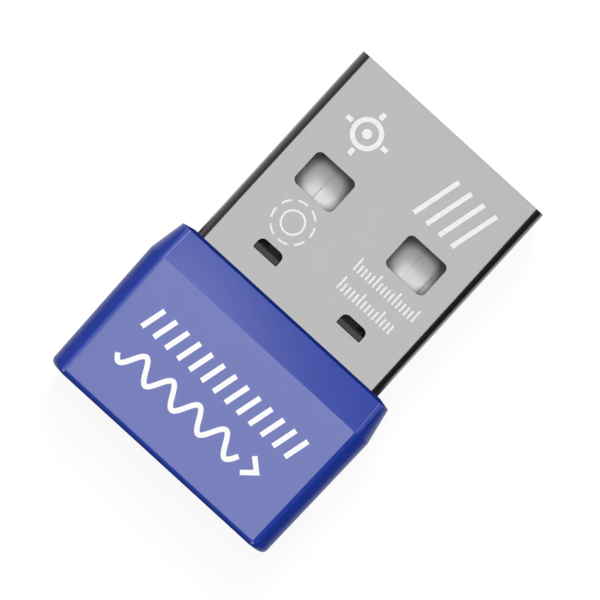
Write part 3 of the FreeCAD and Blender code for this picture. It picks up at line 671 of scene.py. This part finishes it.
# %% Pieces from points and faces
def make_piece(name, points, faces, material, normals=None):
    """Makes a mesh object from points in millimetres and lists of faces, and lets it ride on the body.
    It is smooth if it gets normals, as an array or as a function of the mesh, and flat otherwise."""
    mesh = bpy.data.meshes.new(name)
    corners = [face for group in faces for face in group.tolist()]
    mesh.from_pydata((np.asarray(points) * MM).tolist(), [], corners)
    mesh.validate()
    mesh.update()
    if normals is not None:
        mesh.shade_smooth()
        normals = normals(mesh) if callable(normals) else normals
        mesh.normals_split_custom_set_from_vertices(normals.tolist())
    mesh.materials.append(material)
    piece = bpy.data.objects.new(name, mesh)
    bpy.context.scene.collection.objects.link(piece)
    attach(piece, "root")
    print(name, "-", len(mesh.vertices), "points,", len(mesh.polygons), "faces")
    return piece


def face_led_normals(mesh):
    """At each point, the sum of the normals of the faces round it, each as long as its face's area."""
    facing = np.empty(3 * len(mesh.polygons))
    mesh.polygons.foreach_get("normal", facing)
    area = np.empty(len(mesh.polygons))
    mesh.polygons.foreach_get("area", area)
    corners = np.empty(len(mesh.polygons), int)
    mesh.polygons.foreach_get("loop_total", corners)
    at_point = np.empty(len(mesh.loops), int)
    mesh.loops.foreach_get("vertex_index", at_point)
    total = np.zeros((len(mesh.vertices), 3))
    np.add.at(total, at_point, np.repeat(facing.reshape(-1, 3) * area[:, None], corners, axis=0))
    return total / np.linalg.norm(total, axis=1, keepdims=True)


print("ready to make pieces")

# %% Grids and offset paths
def grid_faces(rows, columns):
    """The quads of a grid of rings, each ring closed on itself."""
    row, column = np.meshgrid(np.arange(rows - 1), np.arange(columns), indexing="ij")
    here = row * columns + column
    beside = row * columns + (column + 1) % columns
    return np.stack([here, here + columns, beside + columns, beside], -1).reshape(-1, 4)


def sideways(path, closed):
    """The way to the left at each point of a flat path, stretched in the corners so that an offset path
    keeps its distance: the sum of the two edges' left normals over one plus their dot product."""
    step = np.roll(path, -1, axis=0) - path
    if not closed:
        step[-1] = step[-2]
    left = np.stack([-step[:, 1], step[:, 0]], 1) / np.linalg.norm(step, axis=1, keepdims=True)
    before = np.roll(left, 1, axis=0)
    if not closed:
        before[0] = left[0]
    return (before + left) / (1 + (before * left).sum(1, keepdims=True))


print("a grid of 3 rings with 4 points each has", len(grid_faces(3, 4)), "faces")

# %% [markdown]
# ## The shell: cut flat, then folded
# The real shell is stamped from a flat strip, windows and all, and folded round until its two edges
# meet under the plug, where dovetails lock them. The mesh is made the same way. Its flat pattern has
# two coordinates: s, the distance round the outside from the middle of the top, and y along the plug.
# A formula then folds the pattern, and a third coordinate, the depth in the sheet, gives it thickness.
#
# Boolean cuts in a folded tube would work too, but they leave long slivers at every hole, and slivers
# show on a mirror. In the flat pattern the holes are plain rounded rectangles.

# %% Sizes of the shell
SHEET = 0.3
BEND = 0.50                   # outside radius of every fold
SEAM_GAP = 0.05
EDGE_ROLL = 0.015             # the stamped edges are rounded by this much

SLOT = (1.5, 0.67, 0.3)       # width, length and corner radius of the latch slots
SLOT_PITCH = 5.54
SLOT_SETBACK = 1.34           # from the shoulder to the straight rear edge
CATCH = (1.2, 1.0, 0.05)      # and of the slots in the sides, which hold the cap
CATCH_SETBACK = 2.1           # from the shoulder, back under the cap
DOVETAIL_NECK, DOVETAIL_HEAD, DOVETAIL_DEPTH = 0.9, 1.3, 0.8
DOVETAIL_SETBACK = 2.6        # from the mouth to the middle of the first one
DOVETAIL_SPACING = 6.0
LEG_OUTER = 4.0               # from the plug's middle to a leg's outer edge
LEG_WIDTH = 1.0
LEG_PROUD = 0.3               # above the board
BEND_STEPS = 12               # facets in a fold

HALF_WIDTH = shell_high[0]
HALF_HEIGHT = shell_high[2]
MOUTH = shell_high[1]
TAIL = shell_low[1] + BEND    # the legs fold up behind the tail

FLAT_TOP = HALF_WIDTH - BEND
ARC = BEND * math.pi / 2
WALL = 2 * (HALF_HEIGHT - BEND)
FOLD_1_END = FLAT_TOP + ARC
FOLD_2 = FOLD_1_END + WALL
FOLD_2_END = FOLD_2 + ARC
SEAM = FOLD_2_END + FLAT_TOP
print("flat pattern:", round(2 * SEAM, 2), "mm round,", round(MOUTH - TAIL, 2), "mm long")

# %% The folding formula
def fold(s, y, depth):
    """Folds the flat pattern. A core line goes round inside the corners, one bend radius under the
    skin. The sheet lies out from it by the bend radius less the depth, in a direction that turns in the
    folds. Behind the tail the legs turn up in the same way, but about an axis across the plug."""
    side = np.sign(s)
    s = np.abs(s)
    turn = (np.clip(s - FLAT_TOP, 0, ARC) + np.clip(s - FOLD_2, 0, ARC)) / BEND
    core_x = np.minimum(s, FLAT_TOP) - np.maximum(s - FOLD_2_END, 0)
    core_z = HALF_HEIGHT - BEND - np.clip(s - FOLD_1_END, 0, WALL)
    out = BEND - depth
    x = side * (core_x + out * np.sin(turn))
    z = core_z + out * np.cos(turn)

    behind = np.maximum(TAIL - y, 0)
    leg_turn = np.minimum(behind, ARC) / BEND
    leg_z = BEND - HALF_HEIGHT - out * np.cos(leg_turn) + np.maximum(behind - ARC, 0)
    leg_y = TAIL - out * np.sin(leg_turn)
    is_leg = behind > 0
    return np.stack([x, np.where(is_leg, leg_y, y), np.where(is_leg, leg_z, z)], -1)


probe = fold(np.array([0.0, SEAM]), np.array([0.0, 0.0]), np.array([0.0, SHEET]))
print("top and seam fold to z =", probe[:, 2].round(3))

# %% [markdown]
# The outline runs once round the pattern with the metal on its left, and each hole runs the other way
# round, which also leaves the metal on the left. Every fold needs lines along it, so the outline gets a
# point where each of these lines reaches the mouth and the tail.

# %% The flat pattern's outline
folds = [np.linspace(*ends, BEND_STEPS + 1) for ends in ((FLAT_TOP, FOLD_1_END), (FOLD_2, FOLD_2_END))]
stations = np.concatenate(folds)
stations = np.concatenate([-stations[::-1], stations])
leg_levels = TAIL - np.linspace(0, ARC, BEND_STEPS // 2 + 1)
leg_end = TAIL - ARC - (board_high[2] + LEG_PROUD) - (HALF_HEIGHT - BEND)


def dovetails():
    """The seam from tail to mouth, as how far it steps to the right and where."""
    path = [(0.0, MOUTH + SEAM_GAP / 2)]
    middle = MOUTH - DOVETAIL_SETBACK
    while middle - DOVETAIL_HEAD > TAIL:
        neck, head = DOVETAIL_NECK / 2, DOVETAIL_HEAD / 2
        path += [(0.0, middle + neck), (DOVETAIL_DEPTH, middle + head),
                 (DOVETAIL_DEPTH, middle - head), (0.0, middle - neck)]
        middle -= DOVETAIL_SPACING
    path.append((0.0, TAIL - SEAM_GAP / 2))
    return np.array(path[::-1])


def leg_edge(s):
    """Down one side of a leg, with a point for each step of its fold."""
    y = np.append(leg_levels, leg_end)
    return np.stack([np.full(len(y), s), y], 1)


def outline():
    """Anticlockwise round the pattern, half the seam's gap too large all round, then drawn in by it."""
    gap = SEAM_GAP / 2
    seam = dovetails()
    right_edge = np.stack([SEAM - seam[:, 0], seam[:, 1]], 1)
    left_edge = np.stack([-SEAM - seam[:, 0], seam[:, 1]], 1)[::-1]
    outer, inner = SEAM - LEG_OUTER, SEAM - LEG_OUTER + LEG_WIDTH
    left_leg = [leg_edge(-inner - gap), leg_edge(-outer + gap)[::-1]]
    right_leg = [leg_edge(outer - gap), leg_edge(inner + gap)[::-1]]
    rear = np.stack([stations, np.full(len(stations), TAIL - gap)], 1)
    front = np.stack([stations[::-1], np.full(len(stations), MOUTH + gap)], 1)
    path = np.concatenate([*left_leg, rear, *right_leg, right_edge, front, left_edge])
    path[path[:, 1] == TAIL, 1] = TAIL - gap
    path[path[:, 1] == leg_end, 1] = leg_end - gap
    return path + gap * sideways(path, closed=True)


pattern_outline = outline()
print("outline:", len(pattern_outline), "points")

# %% The holes
CORNER_STEPS = 8              # edges in a hole's corner


def hole(size, middle, rear_edge, rear_radius=None):
    """A clockwise rounded rectangle: four quarter circles, whose ends the straight edges join."""
    width, length, radius = size
    corners = []
    for quarter in range(4):                       # front right, rear right, rear left, front left
        at_rear = quarter in (1, 2)
        r = rear_radius if at_rear and rear_radius else radius
        angle = math.pi / 2 - np.linspace(quarter, quarter + 1, CORNER_STEPS + 1) * math.pi / 2
        x = (1 if quarter < 2 else -1) * (width / 2 - r)
        y = (-1 if at_rear else 1) * (length / 2 - r)
        corners.append(np.stack([x + r * np.cos(angle), y + r * np.sin(angle)], 1))
    return np.concatenate(corners) + (middle, rear_edge + length / 2)


window_rear = MOUTH - WINDOW_SETBACK - WINDOW[1]
holes = []
for side in (-1, 1):
    holes.append(hole(WINDOW, side * WINDOW_PITCH / 2, window_rear))
    holes.append(hole(WINDOW, side * (SEAM - WINDOW_PITCH / 2), window_rear))
    holes.append(hole(SLOT, side * SLOT_PITCH / 2, SLOT_SETBACK, rear_radius=CATCH[2]))
    holes.append(hole(CATCH, side * (FOLD_1_END + WALL / 2), -CATCH_SETBACK - CATCH[1]))
print("holes:", len(holes))

# %% [markdown]
# Triangles now fill the pattern between its outline, holes and fold lines. A constrained Delaunay
# triangulation keeps all those lines as edges and covers everything inside the pattern's convex hull,
# so the triangles in the holes are dropped: a point is in the metal if a ray from it crosses the loops
# an odd number of times.
#
# Each loop then gets a rim, which is half a circle's worth of steps from the outer skin to the inner
# one. Its normals aren't guessed: the folding formula itself, tried a hair further in or out, says
# which way the skin and the rim face.

# %% Triangulate the pattern
SAME_POINT = 1e-6             # points nearer than this are one

loops = [pattern_outline, *holes]
loop_sides = [sideways(loop, closed=True) for loop in loops]
loop_start = np.cumsum([0] + [len(loop) for loop in loops])
edge_points = np.concatenate(loops)
edge_inward = np.concatenate(loop_sides)
skin_points = edge_points + EDGE_ROLL * edge_inward
loop_next = np.concatenate([start + (np.arange(len(loop)) + 1) % len(loop)
                            for start, loop in zip(loop_start, loops)])


def ends_of(line, axis, side=0):
    """The outline's points that lie on one line, lowest and highest along the other axis. A side of -1
    or 1 leaves only those to the left or right of the middle."""
    on_line = np.flatnonzero(np.abs(pattern_outline[:, axis] - line) < SEAM_GAP / 4)
    if side:
        on_line = on_line[pattern_outline[on_line, 0] * side > 0]
    order = np.argsort(pattern_outline[on_line, 1 - axis])
    return on_line[order[0]], on_line[order[-1]]


fold_lines = [ends_of(s, 0) for s in stations]
fold_lines += [ends_of(level, 1, side) for side in (-1, 1) for level in leg_levels[1:]]
edges = [(i, int(j)) for i, j in enumerate(loop_next)] + [(int(a), int(b)) for a, b in fold_lines]
found, _, triangles, from_point, _, _ = delaunay_2d_cdt(
    [tuple(p) for p in skin_points], edges, [], 0, SAME_POINT, True)
original = np.array([ids[0] for ids in from_point])
triangles = original[np.array(triangles)]


def crosses(points):
    """Whether a ray to the right of each point crosses the loops an odd number of times."""
    a, b = skin_points, skin_points[loop_next]
    px, py = points[:, :1], points[:, 1:]
    spans = (a[:, 1] > py) != (b[:, 1] > py)
    rise = np.where(b[:, 1] == a[:, 1], 1.0, b[:, 1] - a[:, 1])
    meets = a[:, 0] + (py - a[:, 1]) / rise * (b[:, 0] - a[:, 0])
    return (spans & (meets > px)).sum(1) % 2 == 1


triangles = triangles[crosses(skin_points[triangles].mean(1))]
ab = skin_points[triangles[:, 1]] - skin_points[triangles[:, 0]]
ac = skin_points[triangles[:, 2]] - skin_points[triangles[:, 0]]
backwards = ab[:, 0] * ac[:, 1] < ab[:, 1] * ac[:, 0]
triangles[backwards] = triangles[backwards][:, ::-1]
print("points in and out:", len(skin_points), len(found), "| triangles:", len(triangles))

# %% Fold it and give it thickness
ROLL_STEPS = 4                # facets in each half of a rolled edge
HAIR = 1e-4                   # a step so small that it shows which way the surface faces

outer_roll = np.linspace(0, math.pi / 2, ROLL_STEPS + 1)
inner_roll = np.linspace(math.pi / 2, math.pi, ROLL_STEPS + 1)
roll = np.concatenate([outer_roll, inner_roll])
inset = EDGE_ROLL * (1 - np.sin(roll))
outer_depth = EDGE_ROLL * (1 - np.cos(outer_roll))
inner_depth = SHEET - EDGE_ROLL * (1 + np.cos(inner_roll))
depth = np.concatenate([outer_depth, inner_depth])

rim = edge_points[None] + inset[:, None, None] * edge_inward[None]
levels = np.broadcast_to(depth[:, None], rim.shape[:2])
shell_points = fold(rim[..., 0], rim[..., 1], levels)
above = fold(rim[..., 0], rim[..., 1], levels - HAIR)
below = fold(rim[..., 0], rim[..., 1], levels + HAIR)
skin_way = above - below
nearer = rim - HAIR * edge_inward
rim_way = fold(nearer[..., 0], nearer[..., 1], levels) - shell_points
skin_way /= np.linalg.norm(skin_way, axis=-1, keepdims=True)
rim_way /= np.linalg.norm(rim_way, axis=-1, keepdims=True)
shell_normals = skin_way * np.cos(roll)[:, None, None] + rim_way * np.sin(roll)[:, None, None]

count = len(edge_points)
index = np.arange(count)
rim_faces = [np.stack([index + row, index + row + count, loop_next + row + count, loop_next + row], 1)
             for row in count * np.arange(len(roll) - 1)]
inner_skin = triangles[:, ::-1] + (len(roll) - 1) * count
shell_faces = [triangles, inner_skin, *rim_faces]
folded_shell = make_piece("folded_shell", shell_points.reshape(-1, 3), shell_faces,
                          finishes["shell_steel"], shell_normals.reshape(-1, 3))
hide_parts("plug_shell")

# %% [markdown]
# ## The moulded cap
# The cap is a closed skin of rings strung along the plug's axis. Each ring is an outline with a flat
# top and bottom, bowed sides and rounded corners. Straight lines join the outlines of the shoulder, the
# ridge and the rear, which is how the mould was cut. The same string of rings carries on through the
# front face into the pocket that holds the plug, so the skin has no open edge.
#
# A quarter of an outline is enough: it mirrors into the rest. Every outline has the same number of
# points in its flat, its corner and its side, so that ring joins to ring point by point.

# %% Sizes of the cap
RIDGE_SETBACK = 2.07                      # from the shoulder to the ridge
FLARE_SIDE, FLARE_TOP = 0.41, 0.40        # how far the ridge stands out past the shoulder
SIDE_DRAFT = math.radians(1.0)
BOWS = (0.42, 0.77, 0.75)                 # how far the sides swell, at the shoulder, ridge and rear
EDGE_RADIUS = 0.30
SHOULDER_LEAN = 0.145                     # the front face leans back by this much
SHOULDER_FALL = 0.60                      # while it falls by this much towards the plug
REAR_RADIUS = 0.29                        # under EDGE_RADIUS, or the corners turn inside out
SOFTENING = 0.06                          # how far from a ridge its rounding starts
SHOULDER_SOFTENING = 0.02                 # the same, behind the shoulder's edge
SLIP = 0.05                               # between the cap and the plug inside it
COLLAR = 0.5                              # the pocket goes on this far behind the plug's tail
REAR_WALL = 0.9
CAVITY_CORNER = 0.3
FLAT_STEPS, TURN_STEPS, SIDE_STEPS = 14, 12, 20     # points in each stretch of a quarter outline

CAP_LENGTH = -cap_low[1]
RIDGE_WIDTH = cap_high[0]
CAP_HEIGHT = cap_high[2]
REAR_WIDTH = RIDGE_WIDTH - (CAP_LENGTH - RIDGE_SETBACK) * math.tan(SIDE_DRAFT)
SHOULDER_WIDTH = RIDGE_WIDTH - FLARE_SIDE
SHOULDER_HEIGHT = CAP_HEIGHT - FLARE_TOP
print("cap half widths:", round(SHOULDER_WIDTH, 2), round(RIDGE_WIDTH, 2), round(REAR_WIDTH, 2))

# %% Outlines and rings
def bowed_quarter(half_width, half_height, bow):
    """A flat, then an arc of the edge radius, then an arc of the circle through the top, middle and
    bottom of the bowed side. Returns the points and the way each one faces."""
    side = (half_height ** 2 + bow ** 2) / (2 * bow)
    centre = half_width - side
    rise = half_height - EDGE_RADIUS
    reach = math.sqrt((side - EDGE_RADIUS) ** 2 - rise ** 2)
    lean = math.atan2(rise, reach)
    flat = np.linspace(0, centre + reach, FLAT_STEPS, endpoint=False)
    turn = np.linspace(math.pi / 2, lean, TURN_STEPS, endpoint=False)
    swell = np.linspace(lean, 0, SIDE_STEPS + 1)
    x = np.concatenate([flat, centre + reach + EDGE_RADIUS * np.cos(turn),
                        centre + side * np.cos(swell)])
    z = np.concatenate([np.full(FLAT_STEPS, half_height), rise + EDGE_RADIUS * np.sin(turn),
                        side * np.sin(swell)])
    facing = np.concatenate([np.full(FLAT_STEPS, math.pi / 2), turn, swell])
    return np.stack([x, z], 1), np.stack([np.cos(facing), np.sin(facing)], 1)


def boxed_quarter(half_width, half_height, radius):
    """The same for a plain rounded rectangle, with as many points in each stretch."""
    x0, z0 = half_width - radius, half_height - radius
    turn = np.linspace(math.pi / 2, 0, TURN_STEPS, endpoint=False)
    x = np.concatenate([np.linspace(0, x0, FLAT_STEPS, endpoint=False), x0 + radius * np.cos(turn),
                        np.full(SIDE_STEPS + 1, half_width)])
    z = np.concatenate([np.full(FLAT_STEPS, half_height), z0 + radius * np.sin(turn),
                        np.linspace(z0, 0, SIDE_STEPS + 1)])
    return np.stack([x, z], 1)


def mirrored(quarter):
    """Top middle, right, bottom middle, left: a quarter and its three mirror images, as one ring."""
    right = np.concatenate([quarter, quarter[-2::-1] * (1, -1)])
    return np.concatenate([right, right[-2:0:-1] * (-1, 1)])


def ring(outline_points, y):
    """An outline stood up across the plug at y."""
    return np.stack([outline_points[:, 0], np.full(len(outline_points), y), outline_points[:, 1]], 1)


STOPS = [(0.0, bowed_quarter(SHOULDER_WIDTH, SHOULDER_HEIGHT, BOWS[0])),
         (-RIDGE_SETBACK, bowed_quarter(RIDGE_WIDTH, CAP_HEIGHT, BOWS[1])),
         (-CAP_LENGTH, bowed_quarter(REAR_WIDTH, CAP_HEIGHT, BOWS[2]))]


def cap_ring(y, drawn_in=0.0):
    """The outline at y, on the straight lines between its two neighbours, drawn in by a distance."""
    (y0, (near, near_facing)), (y1, (far, far_facing)) = STOPS[:2] if y > -RIDGE_SETBACK else STOPS[1:]
    share = (y - y0) / (y1 - y0)
    points = near + share * (far - near)
    facing = near_facing + share * (far_facing - near_facing)
    facing /= np.linalg.norm(facing, axis=1, keepdims=True)
    return ring(mirrored(points - drawn_in * facing), y)


print("points in a ring:", len(cap_ring(0.0)))

# %% [markdown]
# The rear end is an arc that rolls from the end face onto the sides. The front face leans back a
# little, as a face does that has to leave its mould. Where it meets the flared band, and where the band
# meets the sides, the edge is softened by a quadratic curve between the ring before it and the ring
# behind it, because no mould gives a perfectly sharp edge.

# %% The outside of the cap
FILLET_STEPS = 8                          # facets in the rear fillet
SOFTENING_STEPS = 4                       # and in a softened edge


def softened(before, at, behind):
    """An edge as a quadratic curve: each point is weighted between before, at and behind the edge."""
    share = np.linspace(0, 1, SOFTENING_STEPS + 1)
    return [(1 - t) ** 2 * before + 2 * t * (1 - t) * at + t ** 2 * behind for t in share]


def shoulder_rings():
    """The leaning front face, from a smaller outline round the plug to its own edge, and that edge."""
    width, height = SHOULDER_WIDTH - SHOULDER_FALL, SHOULDER_HEIGHT - SHOULDER_FALL
    front = ring(mirrored(bowed_quarter(width, height, BOWS[0])[0]), 0.0)
    edge = cap_ring(-SHOULDER_LEAN)
    near = edge + SOFTENING / SHOULDER_FALL * (front - edge)
    return [front, *softened(near, edge, cap_ring(-SHOULDER_LEAN - SHOULDER_SOFTENING))]


def ridge_rings():
    """The edge between the flared band and the sides."""
    return softened(*(cap_ring(-RIDGE_SETBACK + step) for step in (SOFTENING, 0, -SOFTENING)))


def rear_rings():
    """Rings of the rear fillet, from the sides round to the rear face."""
    start = -CAP_LENGTH + REAR_RADIUS
    angles = np.linspace(0, math.pi / 2, FILLET_STEPS + 1)
    return [cap_ring(start - REAR_RADIUS * math.sin(angle), REAR_RADIUS * (1 - math.cos(angle)))
            for angle in angles]


outside = [*shoulder_rings(), *ridge_rings(), *rear_rings()]
print("rings outside:", len(outside))

# %% The pocket and the whole cap
POCKET_EDGE = 0.03                        # the pocket's mouth is broken by this much
collar_end = TAIL - COLLAR - SLIP
cavity_end = -(CAP_LENGTH - REAR_WALL)
cavity_half = board_high[0] + SLIP


def pocket_ring(y, grown=0.0):
    """The hole that holds the plug."""
    play = SLIP + grown
    return ring(mirrored(boxed_quarter(HALF_WIDTH + play, HALF_HEIGHT + play, BEND + play)), y)


def cavity_ring(y, drawn_in=0.0):
    """The hollow behind it, for the board."""
    corner = CAVITY_CORNER + POCKET_EDGE - drawn_in
    return ring(mirrored(boxed_quarter(cavity_half - drawn_in, HALF_HEIGHT - drawn_in, corner)), y)


inside = [cavity_ring(cavity_end, CAVITY_CORNER), cavity_ring(cavity_end + CAVITY_CORNER),
          cavity_ring(collar_end), pocket_ring(collar_end), pocket_ring(-POCKET_EDGE),
          pocket_ring(0.0, POCKET_EDGE)]
rings = np.array([*inside, *outside])
poles = np.array([[0, cavity_end, 0], [0, -CAP_LENGTH, 0]])
around = rings.shape[1]
first = np.arange(around)
second = (first + 1) % around
pole = rings.shape[0] * around
last_ring = pole - around
fans = [np.stack([first, second, np.full(around, pole)], 1),
        np.stack([second + last_ring, first + last_ring, np.full(around, pole + 1)], 1)]
skin = [grid_faces(len(rings), around), *fans]
moulded_cap = make_piece("moulded_cap", np.concatenate([rings.reshape(-1, 3), poles]), skin,
                         finishes["cap_plastic"], face_led_normals)
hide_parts("housing_cap")
edge_lit.objects.link(moulded_cap)

# %% [markdown]
# ## White print on the cap
# Pad printing leaves a film of ink about a hundredth of a millimetre thick, with a slightly soft, matt
# surface. A decal texture would need an image. A stroke of ink is simpler: a thin bar carried along a
# path, so each mark is real geometry that keeps its edge at any distance. The design is a plain one
# about motion: a row of slanted bars, and a wave that runs into an arrowhead.

# %% Ink and etching
def ink(name, bright, shade, rough, grain):
    """Ink or etched metal: nearly one grey, finely mottled, with a matt relief."""
    tree, shader, place = finish(name, Specular_IOR_Level=0.35)
    mottle = noise(tree, place, grain=grain, detail=3.0)
    paint(tree, shader, Base_Color=tint(tree, mottle, [shade] * 3, [bright] * 3),
          Roughness=vary(tree, mottle, *rough))
    relief(tree, shader, mottle, depth=0.0015)


ink("white_ink", bright=0.93, shade=0.91, rough=(0.42, 0.58), grain=0.05)
ink("frosted_nickel", bright=0.82, shade=0.78, rough=(0.52, 0.68), grain=0.04)
print("finishes:", len(finishes))

# %% Strokes and marks
ITALIC = math.tan(math.radians(14))       # how far a slanted bar leans to the right, for its height


def stroke(path, width, low, high, closed=False):
    """A bar of rectangular section carried along a flat path: its four long edges are the path, moved
    half a width to each side, at two heights. A closed path joins its last section to its first."""
    path = np.asarray(path, float)
    side = sideways(path, closed) * width / 2
    corners = [(side, high), (-side, high), (-side, low), (side, low)]
    points = np.stack([np.column_stack([path + move, np.full(len(path), z)]) for move, z in corners], 1)
    faces = grid_faces(len(path) + closed, 4) % (4 * len(path))
    if not closed:
        ends = np.array([[0, 1, 2, 3], [3, 2, 1, 0]]) + [[0], [(len(path) - 1) * 4]]
        faces = np.concatenate([faces, ends])
    return points.reshape(-1, 3), faces


def slanted_bars(row, count, width, bed):
    """A row of bars that lean like italics, spread evenly from its left to its right."""
    left, right, rear, front = row
    lean = (front - rear) * ITALIC
    starts = np.linspace(left + width / 2, right - lean - width / 2, count)
    return [stroke([(x, rear), (x + lean, front)], width, *bed) for x in starts]


def marks(name, strokes, material):
    """Joins strokes into one piece."""
    starts = np.cumsum([0] + [len(points) for points, _ in strokes])
    points = np.concatenate([points for points, _ in strokes])
    faces = [faces + start for (_, faces), start in zip(strokes, starts)]
    return make_piece(name, points, faces, material)


print("a bar leans by", round(ITALIC, 3), "of its height")

# %% The cap's print
INK_THICKNESS = 0.012
INK_STROKE = 0.27
BAR_ROW = (-5.02, 5.07, -5.24, -3.92)     # left, right, rear and front of the row of bars
BAR_COUNT = 13
WAVE_ROW = (-5.02, 4.24, -7.42, -6.07)
WAVE_LENGTH = 1.76
WAVE_STEPS = 160
ARROW_LENGTH = 0.62
ARROW_GAP = 0.30

ink_bed = (CAP_HEIGHT - INK_THICKNESS, CAP_HEIGHT + INK_THICKNESS)


def wave_row():
    """A sine wave along the row, and an arrowhead after it: two strokes that meet in a point."""
    left, right, rear, front = WAVE_ROW
    middle = (rear + front) / 2
    height = (front - rear - INK_STROKE) / 2
    tip = right - INK_STROKE / 2
    end = tip - ARROW_LENGTH - INK_STROKE - ARROW_GAP
    x = np.linspace(left + INK_STROKE / 2, end, WAVE_STEPS)
    wave = np.stack([x, middle + height * np.sin((x - end) * 2 * math.pi / WAVE_LENGTH)], 1)
    head = [(tip - ARROW_LENGTH, middle + height), (tip, middle), (tip - ARROW_LENGTH, middle - height)]
    return [stroke(wave, INK_STROKE, *ink_bed), stroke(head, INK_STROKE, *ink_bed)]


printed = slanted_bars(BAR_ROW, BAR_COUNT, INK_STROKE, ink_bed) + wave_row()
marks("cap_print", printed, finishes["white_ink"])

# %% [markdown]
# ## Laser marks on the plug
# A laser frosts nickel to a pale matt white. The frosting stands a few thousandths of a millimetre
# proud, so it is drawn as strokes too, only much thinner. The marks are plain shapes: cross hairs,
# slanted bars, a broken ring and two rows of ticks like those on a ruler.

# %% The plug's marks
ETCH_THICKNESS = 0.004
ETCH_STROKE = 0.25
FINE_STROKE = 0.10
DOT_STROKE = 0.98 * ETCH_STROKE           # a dot is a ring whose stroke all but closes its middle
DASH_SHARE = 0.62                         # of the way from one dash of a broken ring to the next
INNER_SHARE = 0.55                        # the small ring's radius, of the broken one's
TICKS_TO_LONG = 5                         # every fifth tick is a long one

etch_bed = (HALF_HEIGHT - ETCH_THICKNESS, HALF_HEIGHT + ETCH_THICKNESS)


def etched(path, width=ETCH_STROKE, closed=False):
    """A stroke on the plug's top."""
    return stroke(path, width, *etch_bed, closed)


def circle(middle, radius, start=0.0, end=2 * math.pi, steps=48):
    """Points round a circle, or round a part of it with both its ends."""
    angle = np.linspace(start, end, steps, endpoint=end - start < 2 * math.pi)
    return np.stack([middle[0] + radius * np.cos(angle), middle[1] + radius * np.sin(angle)], 1)


def cross_hairs(middle, radius, tick):
    """A ring with a dot in it, and four ticks outside it that don't touch it."""
    shapes = [etched(circle(middle, radius), closed=True),
              etched(circle(middle, ETCH_STROKE / 2), DOT_STROKE, closed=True)]
    reach = np.array([[radius + ETCH_STROKE], [radius + ETCH_STROKE + tick]])
    return shapes + [etched(middle + reach * way) for way in ((1, 0), (-1, 0), (0, 1), (0, -1))]


def etched_ring(middle, radius, dashes):
    """A ring broken into dashes, round a small whole one."""
    starts = np.linspace(0, 2 * math.pi, dashes, endpoint=False)
    dash = DASH_SHARE * 2 * math.pi / dashes
    arcs = [etched(circle(middle, radius, start, start + dash, 10), FINE_STROKE) for start in starts]
    return arcs + [etched(circle(middle, radius * INNER_SHARE), FINE_STROKE, closed=True)]


def etched_ticks(left, right, rear, front, count):
    """A ruler's ticks: most go only two thirds of the way to the front."""
    across = np.linspace(left, right, count)
    tops = np.full(count, (rear + 2 * front) / 3)
    tops[::TICKS_TO_LONG] = front
    return [etched([(x, rear), (x, top)], FINE_STROKE) for x, top in zip(across, tops)]


marks("shell_marks", [
    *cross_hairs((-3.10, 9.19), radius=0.72, tick=0.36),
    *slanted_bars((1.08, 4.48, 7.89, 10.49), 4, ETCH_STROKE, etch_bed),
    *etched_ring((-2.86, 3.52), radius=1.1, dashes=8),
    *etched_ticks(0.90, 4.72, 3.80, 4.55, count=16),
    *etched_ticks(0.90, 4.24, 2.60, 3.35, count=14),
], finishes["frosted_nickel"])

# %% [markdown]
# ## Check the size
# Looks never change a size, so the box round everything that shows is written beside the construction
# model's own box.

# %% Boxes
visual_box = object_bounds()
cad_size, visual_size = (np.subtract(high, low) / MM for low, high in (cad_box, visual_box))
print("visual box is larger by", (visual_size - cad_size).round(3), "mm")
